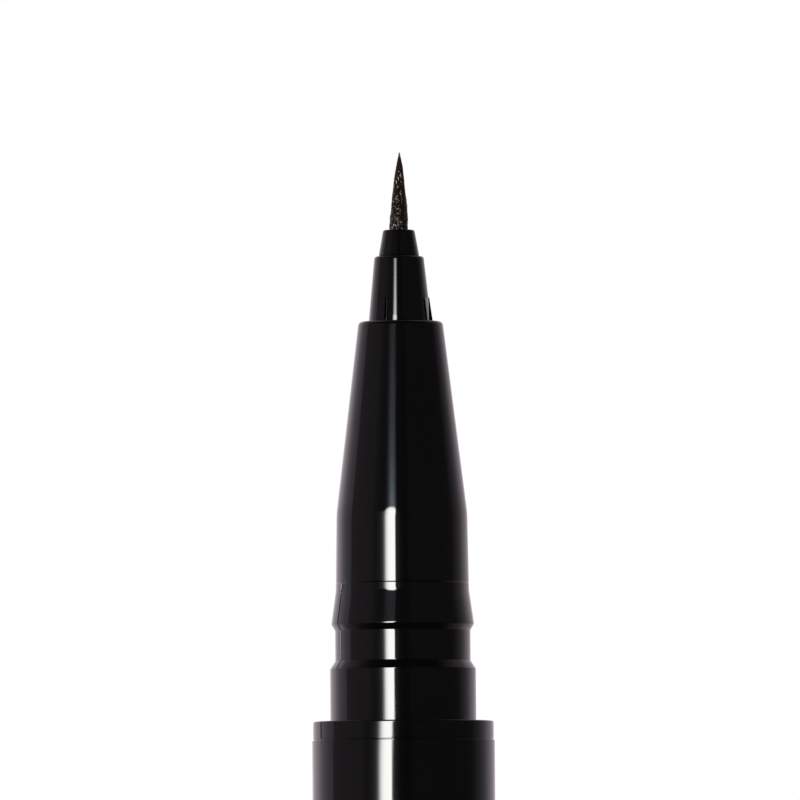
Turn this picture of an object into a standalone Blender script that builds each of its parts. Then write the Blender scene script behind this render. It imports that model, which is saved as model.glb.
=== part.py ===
"""Brush-tip liquid eyeliner pen, standing tip up, with its cap posted on the tail.

Metres, +Z towards the brush. The origin is the middle of the cap's flat end,
which the pen stands on. The front of the pen looks along -Y.
"""

import math

import bmesh
import bpy
from mathutils import Matrix, Vector
from mathutils.geometry import delaunay_2d_cdt

MM = 0.001

# Clearances
SEAM_GAP = 0.05 * MM
FIT_GAP = 0.10 * MM
LOOSE_GAP = 0.25 * MM

# Brush: bonded root, and the strands that stand on it
BRUSH_LENGTH = 4.63 * MM
BRUSH_RADIUS = 0.577 * MM
BRUSH_RECESS = 0.30 * MM
BRUSH_ROOT_LENGTH = 3.0 * MM
STRAND_COUNT = 300
STRAND_SIDES = 3
STRAND_WIDTH_SHARE = 0.045
STRAND_FIELD_SHARE = 0.945
STRAND_SHORTEST_SHARE = 0.86
BRUSH_OUTLINE_SHARES = ((0.0, 1.0), (0.50, 0.72), (0.80, 0.37), (1.0, 0.05))

# Relay wick, which is thinner than the brush root
WICK_STEP = 0.08 * MM
WICK_REACH = 0.5 * MM

# Tip holder
HOLDER_HEIGHT = 1.54 * MM
HOLDER_TOP_WALL = 0.268 * MM
HOLDER_SHANK_WALL = 0.28 * MM
HOLDER_SHANK_LENGTH = 5.0 * MM
HOLDER_LEDGE = 0.163 * MM
HOLDER_ROUNDING = 0.10 * MM

# Nozzle and its centring fins
NOZZLE_HEIGHT = 3.92 * MM
NOZZLE_TOP_WALL = 0.448 * MM
NOZZLE_SPREAD = 0.412 * MM
NOZZLE_ROUNDING = 0.10 * MM
NOZZLE_FLANGE_HEIGHT = 0.85 * MM
FIN_COUNT = 4
FIN_REACH = 0.283 * MM
FIN_HEIGHT = 1.54 * MM
FIN_DEPTH = 2.0 * MM
FIN_THICKNESS = 0.15 * MM
FIN_TURN = math.radians(-28.0)

# Front shell: lip, cone, sleeve, snap section, collar and shank
LIP_WIDTH = 0.28 * MM
LIP_ROUNDING = 0.25 * MM
CONE_LENGTH = 11.54 * MM
FRONT_BORE_LENGTH = 6.43 * MM
SHOULDER_STEP = 0.45 * MM
KNEE_ROUNDING = 6.0 * MM
SLEEVE_LENGTH = 4.64 * MM
SLEEVE_TAPER = 0.072 * MM
SLEEVE_STEP = 0.063 * MM
SHELL_WALL = 0.73 * MM
FLARE_LENGTH = 2.02 * MM
SNAP_RIB_DROP = 0.39 * MM
SNAP_RIB_HEIGHT = 0.225 * MM
GROOVE_LENGTH = 1.81 * MM
GROOVE_DEPTH = 0.318 * MM
LEAD_LENGTH = 0.49 * MM
SNAP_LENGTH = 3.14 * MM
SNAP_RADIUS = 4.384 * MM
COLLAR_HEIGHT = 1.08 * MM
COLLAR_STEP = 0.07 * MM
COLLAR_ROUNDING = 0.12 * MM
SHANK_LENGTH = 8.0 * MM
SHANK_LEAD = 0.3 * MM

# Collector
COLLECTOR_CORE_WALL = 0.75 * MM
COLLECTOR_PLATE_COUNT = 9
COLLECTOR_PLATE_SHARE = 0.5
COLLECTOR_FLANGE_HEIGHT = 1.6 * MM
COLLECTOR_SLOT_WIDTH = 0.4 * MM

# Barrel
BARREL_LENGTH = 80.0 * MM
BARREL_WALL = 0.9 * MM
BARREL_MOUTH_TAPER = 0.013 * MM
BARREL_ROUNDING = 0.08 * MM

# Ink tank, its front plug with a sealing ring, its rear stopper and the mixing ball
TANK_WALL = 0.6 * MM
PLUG_DEPTH = 5.0 * MM
STOPPER_DEPTH = 4.0 * MM
PLUG_FLANGE_HEIGHT = 0.8 * MM
SEAL_SECTION = 0.6 * MM
SEAL_PLACE_SHARE = 0.45
BALL_RADIUS = 1.5 * MM

# Tail plug
TAIL_END_LENGTH = 2.15 * MM
TAIL_WALL = 1.1 * MM
TAIL_ROUNDING = 0.4 * MM

# Cap
CAP_LENGTH = 44.0 * MM
CAP_WALL = 1.0 * MM
CAP_CLEARANCE = 0.116 * MM
CAP_END_WALL = 1.2 * MM
CAP_END_ROUNDING = 0.45 * MM
CAP_MOUTH_ROUNDING = 0.12 * MM
CAP_BEAD_HEIGHT = 0.15 * MM
CAP_BEAD_LENGTH = 0.9 * MM
END_DISC_THICKNESS = 1.0 * MM
END_DISC_RIM = 1.1 * MM
RETAINER_DEPTH = 16.0 * MM
RETAINER_HEIGHT = 1.5 * MM
RETAINER_WIDTH = 0.7 * MM
INNER_CAP_WALL = 0.8 * MM
INNER_CAP_END_WALL = 0.9 * MM
INNER_CAP_FLANGE_HEIGHT = 1.0 * MM
INNER_CAP_FLANGE_STEP = 0.3 * MM
SPRING_LENGTH = 4.6 * MM
SPRING_WIRE = 0.5 * MM
SPRING_TURNS = 4
SPRING_TURN_POINTS = 10

# Facets of turned pieces
OUTER_SIDES = 36
INNER_SIDES = 20
SEAL_SIDES = 8
ARC_STEPS = 2

# Radii that follow from the sizes above, from the brush outwards
WICK_RADIUS = BRUSH_RADIUS - WICK_STEP
WICK_BORE = WICK_RADIUS + FIT_GAP
HOLDER_BORE = BRUSH_RADIUS + FIT_GAP
HOLDER_TOP_RADIUS = HOLDER_BORE + HOLDER_TOP_WALL
HOLDER_SHANK_RADIUS = HOLDER_BORE + HOLDER_SHANK_WALL
NOZZLE_BORE = HOLDER_SHANK_RADIUS + FIT_GAP
HOLDER_BASE_RADIUS = NOZZLE_BORE + HOLDER_LEDGE
NOZZLE_TOP_RADIUS = NOZZLE_BORE + NOZZLE_TOP_WALL
NOZZLE_BASE_RADIUS = NOZZLE_TOP_RADIUS + NOZZLE_SPREAD
FIN_RADIUS = NOZZLE_BASE_RADIUS + FIN_REACH
SHELL_OPENING = FIN_RADIUS + SEAM_GAP
SHOULDER_BORE = SHELL_OPENING + SHOULDER_STEP
LIP_RADIUS = SHELL_OPENING + LIP_WIDTH
GROOVE_RADIUS = SNAP_RADIUS - GROOVE_DEPTH
SNAP_RIB_RADIUS = GROOVE_RADIUS + SNAP_RIB_HEIGHT
SLEEVE_RADIUS = GROOVE_RADIUS - SLEEVE_STEP
KNEE_RADIUS = SLEEVE_RADIUS - SLEEVE_TAPER
CHAMBER_RADIUS = KNEE_RADIUS - SHELL_WALL
CAP_BORE = SNAP_RADIUS + CAP_CLEARANCE
CAP_RADIUS = CAP_BORE + CAP_WALL
BARREL_RADIUS = CAP_RADIUS
BARREL_BORE = BARREL_RADIUS - BARREL_WALL
COLLAR_RADIUS = BARREL_RADIUS - COLLAR_STEP
SHANK_RADIUS = BARREL_BORE - FIT_GAP
TANK_RADIUS = BARREL_BORE - LOOSE_GAP
TANK_BORE = TANK_RADIUS - TANK_WALL
PLUG_RADIUS = TANK_BORE - FIT_GAP
END_DISC_RADIUS = CAP_RADIUS - END_DISC_RIM
INNER_CAP_RADIUS = CAP_BORE - FIT_GAP - INNER_CAP_FLANGE_STEP
INNER_CAP_BORE = INNER_CAP_RADIUS - INNER_CAP_WALL
SPRING_RADIUS = INNER_CAP_BORE - SPRING_WIRE / 2

# Heights in the pen, from the underside of the front shell's collar
SNAP_TOP = COLLAR_HEIGHT + SNAP_LENGTH
GROOVE_TOP = SNAP_TOP + LEAD_LENGTH + GROOVE_LENGTH
SLEEVE_BOTTOM = GROOVE_TOP + SNAP_RIB_DROP + FLARE_LENGTH
KNEE = SLEEVE_BOTTOM + SLEEVE_LENGTH
LIP = KNEE + CONE_LENGTH
SHOULDER = LIP - FRONT_BORE_LENGTH
NOZZLE_TOP = LIP + NOZZLE_HEIGHT
HOLDER_BOTTOM = NOZZLE_TOP + SEAM_GAP
HOLDER_TOP = HOLDER_BOTTOM + HOLDER_HEIGHT
BRUSH_FOOT = HOLDER_TOP - BRUSH_RECESS
BRUSH_TIP = HOLDER_TOP + BRUSH_LENGTH
WICK_TOP = BRUSH_FOOT - BRUSH_ROOT_LENGTH - FIT_GAP
NOZZLE_BOTTOM = SHOULDER - FIT_GAP - NOZZLE_FLANGE_HEIGHT
HOLDER_SHANK_BOTTOM = HOLDER_BOTTOM - HOLDER_SHANK_LENGTH
COLLECTOR_TOP = NOZZLE_BOTTOM - FIT_GAP
COLLECTOR_BOTTOM = -SHANK_LENGTH
PLUG_TOP = COLLECTOR_BOTTOM - LOOSE_GAP
PLUG_SEAT = PLUG_TOP - PLUG_FLANGE_HEIGHT
TANK_TOP = PLUG_SEAT - FIT_GAP
PLUG_BOTTOM = PLUG_SEAT - PLUG_DEPTH
WICK_BOTTOM = PLUG_BOTTOM - WICK_REACH
BARREL_TOP = -SEAM_GAP
BARREL_BOTTOM = BARREL_TOP - BARREL_LENGTH
TAIL_COLLAR_TOP = BARREL_BOTTOM - SEAM_GAP
TAIL_COLLAR_BOTTOM = TAIL_COLLAR_TOP - COLLAR_HEIGHT
TAIL_SHANK_TOP = TAIL_COLLAR_TOP + SHANK_LENGTH
STOPPER_BOTTOM = TAIL_SHANK_TOP + FIT_GAP
STOPPER_SEAT = STOPPER_BOTTOM + PLUG_FLANGE_HEIGHT
STOPPER_TOP = STOPPER_SEAT + STOPPER_DEPTH
TANK_BOTTOM = STOPPER_SEAT + FIT_GAP

# Heights in the cap, from the flat end that the pen stands on
CAP_CEILING = END_DISC_THICKNESS + FIT_GAP
CAP_FLOOR = CAP_CEILING + CAP_END_WALL
RETAINER_BOTTOM = CAP_LENGTH - RETAINER_DEPTH - RETAINER_HEIGHT
INNER_CAP_BOTTOM = CAP_FLOOR + FIT_GAP + SPRING_LENGTH + FIT_GAP
INNER_CAP_TOP = RETAINER_BOTTOM - FIT_GAP
PEN_HEIGHT = CAP_LENGTH + SEAM_GAP - TAIL_COLLAR_BOTTOM


def clear_scene():
    for old in list(bpy.data.objects):
        bpy.data.objects.remove(old, do_unlink=True)


def frame_at(name, height, parent=None):
    """An empty on the pen's axis that carries the pieces of one moving body."""
    frame = bpy.data.objects.new(name, None)
    bpy.context.collection.objects.link(frame)
    frame.parent = parent
    frame.location = (0, 0, height)
    return frame


def material(name, colour, roughness, metallic=0.0):
    made = bpy.data.materials.new(name)
    made.use_nodes = True
    shader = made.node_tree.nodes["Principled BSDF"]
    shader.inputs["Base Color"].default_value = (*colour, 1.0)
    shader.inputs["Roughness"].default_value = roughness
    shader.inputs["Metallic"].default_value = metallic
    made.diffuse_color = (*colour, 1.0)
    return made


def add_mesh(name, mesh_data, frame, look):
    """Close a bmesh into an object with outward faces and smooth round sides."""
    bmesh.ops.recalc_face_normals(mesh_data, faces=mesh_data.faces)
    if mesh_data.calc_volume(signed=True) < 0:
        bmesh.ops.reverse_faces(mesh_data, faces=mesh_data.faces)
    mesh = bpy.data.meshes.new(name)
    mesh_data.to_mesh(mesh)
    mesh_data.free()
    mesh.shade_smooth()
    mesh.set_sharp_from_angle(angle=math.radians(30.0))
    mesh.materials.append(material(name, *look))
    piece = bpy.data.objects.new(name, mesh)
    piece.parent = frame
    bpy.context.collection.objects.link(piece)
    return piece


def arc_corner(before, corner, after, rounding):
    """Points of the arc that rounds a corner, no wider than half of either side."""
    corner = Vector(corner)
    to_before = Vector(before) - corner
    to_after = Vector(after) - corner
    longest = min(to_before.length, to_after.length) / 2
    to_before.normalize()
    to_after.normalize()
    half_angle = to_before.angle(to_after) / 2
    reach = min(rounding / math.tan(half_angle), longest)
    radius = reach * math.tan(half_angle)
    centre = corner + (to_before + to_after).normalized() * radius / math.sin(half_angle)
    start = corner + to_before * reach - centre
    end = corner + to_after * reach - centre
    sweep = math.atan2(start.x * end.y - start.y * end.x, start.dot(end))
    turns = (Matrix.Rotation(sweep * step / ARC_STEPS, 2) for step in range(ARC_STEPS + 1))
    return [centre + turn @ start for turn in turns]


def rounded(corners):
    """Turn (radius, height) or (radius, height, rounding) corners into outline points."""
    points = []
    for index, corner in enumerate(corners):
        if len(corner) == 2:
            points.append(Vector(corner))
            continue
        before = corners[index - 1][:2]
        after = corners[(index + 1) % len(corners)][:2]
        points.extend(arc_corner(before, corner[:2], after, corner[2]))
    return points


def turned(name, corners, sides, frame, look):
    """Spin an outline round the axis. One that starts and ends on the axis is a solid."""
    points = rounded(corners)
    on_axis = corners[0][0] == 0 and corners[-1][0] == 0
    mesh_data = bmesh.new()
    verts = [mesh_data.verts.new((point[0], 0, point[1])) for point in points]
    edges = [mesh_data.edges.new(pair) for pair in zip(verts, verts[1:])]
    if not on_axis:
        edges.append(mesh_data.edges.new((verts[-1], verts[0])))
    bmesh.ops.spin(
        mesh_data, geom=verts + edges, cent=(0, 0, 0), axis=(0, 0, 1), dvec=(0, 0, 0),
        angle=math.tau, steps=sides, use_merge=True)
    bmesh.ops.remove_doubles(mesh_data, verts=mesh_data.verts, dist=SEAM_GAP / 100)
    return add_mesh(name, mesh_data, frame, look)


def cutter_box(name, low, high, frame):
    """A wire box between two corners, for a Boolean."""
    mesh_data = bmesh.new()
    bmesh.ops.create_cube(mesh_data, size=1)
    low = Vector(low)
    high = Vector(high)
    for vert in mesh_data.verts:
        vert.co = (low + high) / 2 + Vector(a * b for a, b in zip(vert.co, high - low))
    box = add_mesh(name, mesh_data, frame, CUTTER)
    box.hide_render = True
    box.display_type = "WIRE"
    return box


def combine(piece, other, operation):
    boolean = piece.modifiers.new(other.name, "BOOLEAN")
    boolean.operation = operation
    boolean.solver = "EXACT"
    boolean.object = other


def snap_corners():
    """The snap section as (radius, distance from the collar's inner face) pairs."""
    lengths = (0, SNAP_LENGTH, LEAD_LENGTH, GROOVE_LENGTH, SNAP_RIB_DROP, FLARE_LENGTH)
    radii = (SNAP_RADIUS, SNAP_RADIUS, GROOVE_RADIUS, GROOVE_RADIUS, SNAP_RIB_RADIUS, SLEEVE_RADIUS)
    reached = 0
    corners = []
    for radius, length in zip(radii, lengths):
        reached += length
        corners.append((radius, reached))
    return corners


def brush_scale(height_share):
    """The brush's radius, as a share of its foot's, at a share of its height."""
    for low, high in zip(BRUSH_OUTLINE_SHARES, BRUSH_OUTLINE_SHARES[1:]):
        if height_share <= high[0]:
            along = (height_share - low[0]) / (high[0] - low[0])
            return low[1] + along * (high[1] - low[1])
    return BRUSH_OUTLINE_SHARES[-1][1]


def strand_foot(index):
    """Corners of one strand's foot in the unit disc, set out as in a sunflower head."""
    golden_turn = math.pi * (3 - math.sqrt(5))
    turn = index * golden_turn
    radius = STRAND_FIELD_SHARE * math.sqrt((index + 0.5) / STRAND_COUNT)
    middle = Vector((radius * math.cos(turn), radius * math.sin(turn)))
    corners = []
    for side in range(STRAND_SIDES):
        angle = turn + math.tau * side / STRAND_SIDES
        corners.append(middle + STRAND_WIDTH_SHARE * Vector((math.cos(angle), math.sin(angle))))
    return middle, corners


def make_brush(frame):
    """Strands that lean together to the tip, all grown out of one bonded root.

    At every height the strands are the foot's pattern made smaller, so none cross.
    """
    reach = BRUSH_TIP - BRUSH_FOOT
    rim = [Vector((math.cos(a), math.sin(a))) for a in
           (math.tau * side / INNER_SIDES for side in range(INNER_SIDES))]
    points = list(rim)
    faces = [list(range(INNER_SIDES))]
    middles = []
    for index in range(STRAND_COUNT):
        middle, corners = strand_foot(index)
        faces.append(list(range(len(points), len(points) + STRAND_SIDES)))
        points.extend(corners)
        middles.append(middle)
    flat, _, cells, sources, _, owners = delaunay_2d_cdt(points, [], faces, 1, 1e-7)

    mesh_data = bmesh.new()
    tops = [mesh_data.verts.new((*(point * BRUSH_RADIUS), BRUSH_FOOT)) for point in flat]
    placed = {source: top for top, made_from in zip(tops, sources) for source in made_from}
    for cell, owner in zip(cells, owners):
        if owner == [0]:
            mesh_data.faces.new([tops[corner] for corner in cell])

    rings = [share for share, _ in BRUSH_OUTLINE_SHARES[1:-1]]
    for index in range(STRAND_COUNT):
        below = [placed[corner] for corner in faces[index + 1]]
        for share in rings:
            scale = BRUSH_RADIUS * brush_scale(share)
            height = BRUSH_FOOT + share * reach
            above = [mesh_data.verts.new((*(points[corner] * scale), height))
                     for corner in faces[index + 1]]
            for side in range(STRAND_SIDES):
                after = (side + 1) % STRAND_SIDES
                mesh_data.faces.new((below[side], below[after], above[after], above[side]))
            below = above
        stagger = (index * STRAND_FIELD_SHARE) % 1
        share = 1 - (1 - STRAND_SHORTEST_SHARE) * stagger
        scale = BRUSH_RADIUS * brush_scale(share)
        tip = mesh_data.verts.new((*(middles[index] * scale), BRUSH_FOOT + share * reach))
        for side in range(STRAND_SIDES):
            mesh_data.faces.new((below[side], below[(side + 1) % STRAND_SIDES], tip))

    upper = [placed[side] for side in range(INNER_SIDES)]
    root_bottom = BRUSH_FOOT - BRUSH_ROOT_LENGTH
    lower = [mesh_data.verts.new((*(point * BRUSH_RADIUS), root_bottom)) for point in rim]
    for side in range(INNER_SIDES):
        after = (side + 1) % INNER_SIDES
        mesh_data.faces.new((lower[side], lower[after], upper[after], upper[side]))
    mesh_data.faces.new(lower)
    return add_mesh("brush_tip", mesh_data, frame, BRISTLE)


def make_wick(frame):
    return turned("relay_wick", (
        (0, WICK_TOP),
        (WICK_RADIUS, WICK_TOP),
        (WICK_RADIUS, WICK_BOTTOM),
        (0, WICK_BOTTOM)), INNER_SIDES, frame, FIBRE)


def make_holder(frame):
    return turned("tip_holder", (
        (HOLDER_BORE, HOLDER_TOP),
        (HOLDER_TOP_RADIUS, HOLDER_TOP, HOLDER_ROUNDING),
        (HOLDER_BASE_RADIUS, HOLDER_BOTTOM, SEAM_GAP),
        (HOLDER_SHANK_RADIUS, HOLDER_BOTTOM),
        (HOLDER_SHANK_RADIUS, HOLDER_SHANK_BOTTOM),
        (HOLDER_BORE, HOLDER_SHANK_BOTTOM)), INNER_SIDES, frame, BLACK)


def make_nozzle(frame):
    """A cone with a bore for the tip holder, a rear flange and thin centring fins."""
    seat = HOLDER_SHANK_BOTTOM - LOOSE_GAP
    flange_top = SHOULDER - FIT_GAP
    nozzle = turned("nozzle", (
        (NOZZLE_BORE, NOZZLE_TOP),
        (NOZZLE_TOP_RADIUS, NOZZLE_TOP, NOZZLE_ROUNDING),
        (NOZZLE_BASE_RADIUS, LIP),
        (NOZZLE_BASE_RADIUS, flange_top),
        (SHOULDER_BORE - FIT_GAP, flange_top),
        (SHOULDER_BORE - FIT_GAP, NOZZLE_BOTTOM),
        (WICK_BORE, NOZZLE_BOTTOM),
        (WICK_BORE, seat),
        (NOZZLE_BORE, seat)), INNER_SIDES, frame, BLACK)
    root = (NOZZLE_BORE + NOZZLE_TOP_RADIUS) / 2
    start = NOZZLE_BASE_RADIUS - NOZZLE_SPREAD * FIN_HEIGHT / NOZZLE_HEIGHT
    outline = (
        (root, LIP - FIN_DEPTH),
        (FIN_RADIUS, LIP - FIN_DEPTH),
        (FIN_RADIUS, LIP),
        (start, LIP + FIN_HEIGHT),
        (root, LIP + FIN_HEIGHT))
    for number in range(FIN_COUNT):
        mesh_data = bmesh.new()
        verts = [mesh_data.verts.new((radius, -FIN_THICKNESS / 2, height)) for radius, height in outline]
        face = mesh_data.faces.new(verts)
        grown = bmesh.ops.extrude_face_region(mesh_data, geom=[face])["geom"]
        moved = [item for item in grown if isinstance(item, bmesh.types.BMVert)]
        bmesh.ops.translate(mesh_data, verts=moved, vec=(0, FIN_THICKNESS, 0))
        fin = add_mesh(f"nozzle_fin_{number}", mesh_data, frame, CUTTER)
        fin.rotation_euler.z = FIN_TURN - math.pi / 2 + math.tau * number / FIN_COUNT
        fin.hide_render = True
        fin.display_type = "WIRE"
        combine(nozzle, fin, "UNION")
    return nozzle


def make_front_shell(frame):
    snap = [(radius, COLLAR_HEIGHT + along) for radius, along in snap_corners()]
    return turned("front_shell", (
        (SHELL_OPENING, LIP),
        (LIP_RADIUS, LIP, LIP_ROUNDING),
        (KNEE_RADIUS, KNEE, KNEE_ROUNDING),
        *reversed(snap),
        (COLLAR_RADIUS, COLLAR_HEIGHT, COLLAR_ROUNDING),
        (COLLAR_RADIUS, 0, COLLAR_ROUNDING),
        (SHANK_RADIUS, 0),
        (SHANK_RADIUS, SHANK_LEAD - SHANK_LENGTH),
        (SHANK_RADIUS - SHANK_LEAD, -SHANK_LENGTH),
        (CHAMBER_RADIUS, -SHANK_LENGTH),
        (CHAMBER_RADIUS, KNEE),
        (SHOULDER_BORE, KNEE),
        (SHOULDER_BORE, SHOULDER),
        (SHELL_OPENING, SHOULDER)), OUTER_SIDES, frame, BLACK)


def make_collector(frame):
    """A core with a front boss, evenly pitched plates, a rear flange and one long slot."""
    core = WICK_BORE + COLLECTOR_CORE_WALL
    plate_radius = CHAMBER_RADIUS - LOOSE_GAP
    boss_bottom = KNEE - FIT_GAP
    flange_top = COLLECTOR_BOTTOM + COLLECTOR_FLANGE_HEIGHT
    pitch = (boss_bottom - flange_top) / (COLLECTOR_PLATE_COUNT + 1)
    plate = pitch * COLLECTOR_PLATE_SHARE
    corners = [
        (WICK_BORE, COLLECTOR_TOP),
        (SHOULDER_BORE - FIT_GAP, COLLECTOR_TOP),
        (SHOULDER_BORE - FIT_GAP, boss_bottom),
        (core, boss_bottom)]
    for number in range(COLLECTOR_PLATE_COUNT):
        middle = boss_bottom - pitch * (number + 1)
        corners.append((core, middle + plate / 2))
        corners.append((plate_radius, middle + plate / 2))
        corners.append((plate_radius, middle - plate / 2))
        corners.append((core, middle - plate / 2))
    corners.append((core, flange_top))
    corners.append((plate_radius, flange_top))
    corners.append((plate_radius, COLLECTOR_BOTTOM))
    corners.append((WICK_BORE, COLLECTOR_BOTTOM))
    collector = turned("collector", corners, INNER_SIDES, frame, WHITE)
    slot = cutter_box(
        "collector_slot",
        (core - COLLECTOR_SLOT_WIDTH, -COLLECTOR_SLOT_WIDTH / 2, flange_top - COLLECTOR_SLOT_WIDTH),
        (plate_radius + COLLECTOR_SLOT_WIDTH, COLLECTOR_SLOT_WIDTH / 2, boss_bottom),
        frame)
    combine(collector, slot, "DIFFERENCE")
    return collector


def make_tank_plug(frame):
    """The tank's front plug, with a groove for its sealing ring."""
    ring_middle = PLUG_SEAT - PLUG_DEPTH * SEAL_PLACE_SHARE
    ring_half = SEAL_SECTION / 2 + FIT_GAP
    groove = TANK_BORE - SEAM_GAP - SEAL_SECTION - FIT_GAP
    return turned("tank_plug", (
        (WICK_BORE, PLUG_TOP),
        (TANK_RADIUS, PLUG_TOP),
        (TANK_RADIUS, PLUG_SEAT),
        (PLUG_RADIUS, PLUG_SEAT),
        (PLUG_RADIUS, ring_middle + ring_half),
        (groove, ring_middle + ring_half),
        (groove, ring_middle - ring_half),
        (PLUG_RADIUS, ring_middle - ring_half),
        (PLUG_RADIUS, PLUG_BOTTOM),
        (WICK_BORE, PLUG_BOTTOM)), INNER_SIDES, frame, GREY)


def make_tank_seal(frame):
    """A round-section ring between the front plug's groove and the tank's bore."""
    middle = PLUG_SEAT - PLUG_DEPTH * SEAL_PLACE_SHARE
    half = SEAL_SECTION / 2
    centre = TANK_BORE - SEAM_GAP - half
    turns = [math.tau * side / SEAL_SIDES for side in range(SEAL_SIDES)]
    section = [(centre + half * math.cos(turn), middle + half * math.sin(turn)) for turn in turns]
    return turned("tank_seal", section, INNER_SIDES, frame, RUBBER)


def make_tank(frame):
    return turned("ink_tank", (
        (TANK_BORE, TANK_TOP),
        (TANK_RADIUS, TANK_TOP),
        (TANK_RADIUS, TANK_BOTTOM),
        (TANK_BORE, TANK_BOTTOM)), INNER_SIDES, frame, MILKY)


def make_stopper(frame):
    return turned("tank_stopper", (
        (0, STOPPER_TOP),
        (PLUG_RADIUS - SHANK_LEAD, STOPPER_TOP),
        (PLUG_RADIUS, STOPPER_TOP - SHANK_LEAD),
        (PLUG_RADIUS, STOPPER_SEAT),
        (TANK_RADIUS, STOPPER_SEAT),
        (TANK_RADIUS, STOPPER_BOTTOM),
        (0, STOPPER_BOTTOM)), INNER_SIDES, frame, GREY)


def make_ball(frame):
    """A steel ball that rolls along the tank and stirs the ink when the pen is shaken."""
    mesh_data = bmesh.new()
    bmesh.ops.create_uvsphere(mesh_data, u_segments=16, v_segments=10, radius=BALL_RADIUS)
    ball = add_mesh("mixing_ball", mesh_data, frame, STEEL)
    ball.location.x = TANK_BORE - LOOSE_GAP - BALL_RADIUS
    return ball


def make_barrel(frame):
    mouth_radius = BARREL_RADIUS - BARREL_MOUTH_TAPER
    return turned("barrel", (
        (BARREL_BORE, BARREL_TOP),
        (mouth_radius, BARREL_TOP, BARREL_ROUNDING),
        (BARREL_RADIUS, BARREL_BOTTOM, BARREL_ROUNDING),
        (BARREL_BORE, BARREL_BOTTOM)), OUTER_SIDES, frame, BLACK)


def make_tail_plug(frame):
    """The barrel's end, with the same snap section as the front so the cap can be posted."""
    snap = [(radius, TAIL_COLLAR_BOTTOM - along) for radius, along in snap_corners()]
    bottom = snap[-1][1] - TAIL_END_LENGTH
    bore = SLEEVE_RADIUS - TAIL_WALL
    return turned("tail_plug", (
        (0, bottom + TAIL_WALL),
        (bore, bottom + TAIL_WALL),
        (bore, TAIL_SHANK_TOP),
        (SHANK_RADIUS - SHANK_LEAD, TAIL_SHANK_TOP),
        (SHANK_RADIUS, TAIL_SHANK_TOP - SHANK_LEAD),
        (SHANK_RADIUS, TAIL_COLLAR_TOP),
        (COLLAR_RADIUS, TAIL_COLLAR_TOP, COLLAR_ROUNDING),
        (COLLAR_RADIUS, TAIL_COLLAR_BOTTOM, COLLAR_ROUNDING),
        *snap,
        (SLEEVE_RADIUS, bottom, TAIL_ROUNDING),
        (0, bottom)), OUTER_SIDES, frame, BLACK)


def make_cap_shell(frame):
    """A tube with a closed end, a recess for the end disc and a snap bead in its mouth."""
    groove_middle = SNAP_LENGTH + LEAD_LENGTH + GROOVE_LENGTH / 2
    bead = CAP_LENGTH + SEAM_GAP - groove_middle
    bead_half = CAP_BEAD_LENGTH / 2
    recess = END_DISC_RADIUS + SEAM_GAP
    return turned("cap_shell", (
        (0, CAP_FLOOR),
        (CAP_BORE, CAP_FLOOR),
        (CAP_BORE, bead - bead_half),
        (CAP_BORE - CAP_BEAD_HEIGHT, bead),
        (CAP_BORE, bead + bead_half),
        (CAP_BORE, CAP_LENGTH - CAP_CLEARANCE),
        (CAP_BORE + CAP_CLEARANCE, CAP_LENGTH),
        (CAP_RADIUS, CAP_LENGTH, CAP_MOUTH_ROUNDING),
        (CAP_RADIUS, 0, CAP_END_ROUNDING),
        (recess, 0),
        (recess, CAP_CEILING),
        (0, CAP_CEILING)), OUTER_SIDES, frame, BLACK)


def make_end_disc(frame):
    return turned("cap_end_disc", (
        (0, END_DISC_THICKNESS),
        (END_DISC_RADIUS, END_DISC_THICKNESS),
        (END_DISC_RADIUS, 0, SEAM_GAP),
        (0, 0)), OUTER_SIDES, frame, BLACK)


def make_retainer(frame):
    outer = CAP_BORE - SEAM_GAP
    return turned("inner_cap_retainer", (
        (outer - RETAINER_WIDTH, RETAINER_BOTTOM + RETAINER_HEIGHT, SHANK_LEAD),
        (outer, RETAINER_BOTTOM + RETAINER_HEIGHT),
        (outer, RETAINER_BOTTOM),
        (outer - RETAINER_WIDTH, RETAINER_BOTTOM)), OUTER_SIDES, frame, GREY)


def make_inner_cap(frame):
    """The cup that seals round the front shell's cone. Its mouth flange meets the retainer."""
    flange = INNER_CAP_RADIUS + INNER_CAP_FLANGE_STEP
    return turned("inner_cap", (
        (0, INNER_CAP_BOTTOM + INNER_CAP_END_WALL),
        (INNER_CAP_BORE, INNER_CAP_BOTTOM + INNER_CAP_END_WALL),
        (INNER_CAP_BORE, INNER_CAP_TOP, SHANK_LEAD),
        (flange, INNER_CAP_TOP),
        (flange, INNER_CAP_TOP - INNER_CAP_FLANGE_HEIGHT),
        (INNER_CAP_RADIUS, INNER_CAP_TOP - INNER_CAP_FLANGE_HEIGHT),
        (INNER_CAP_RADIUS, INNER_CAP_BOTTOM, INNER_CAP_FLANGE_STEP),
        (0, INNER_CAP_BOTTOM)), OUTER_SIDES, frame, MILKY)


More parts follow.
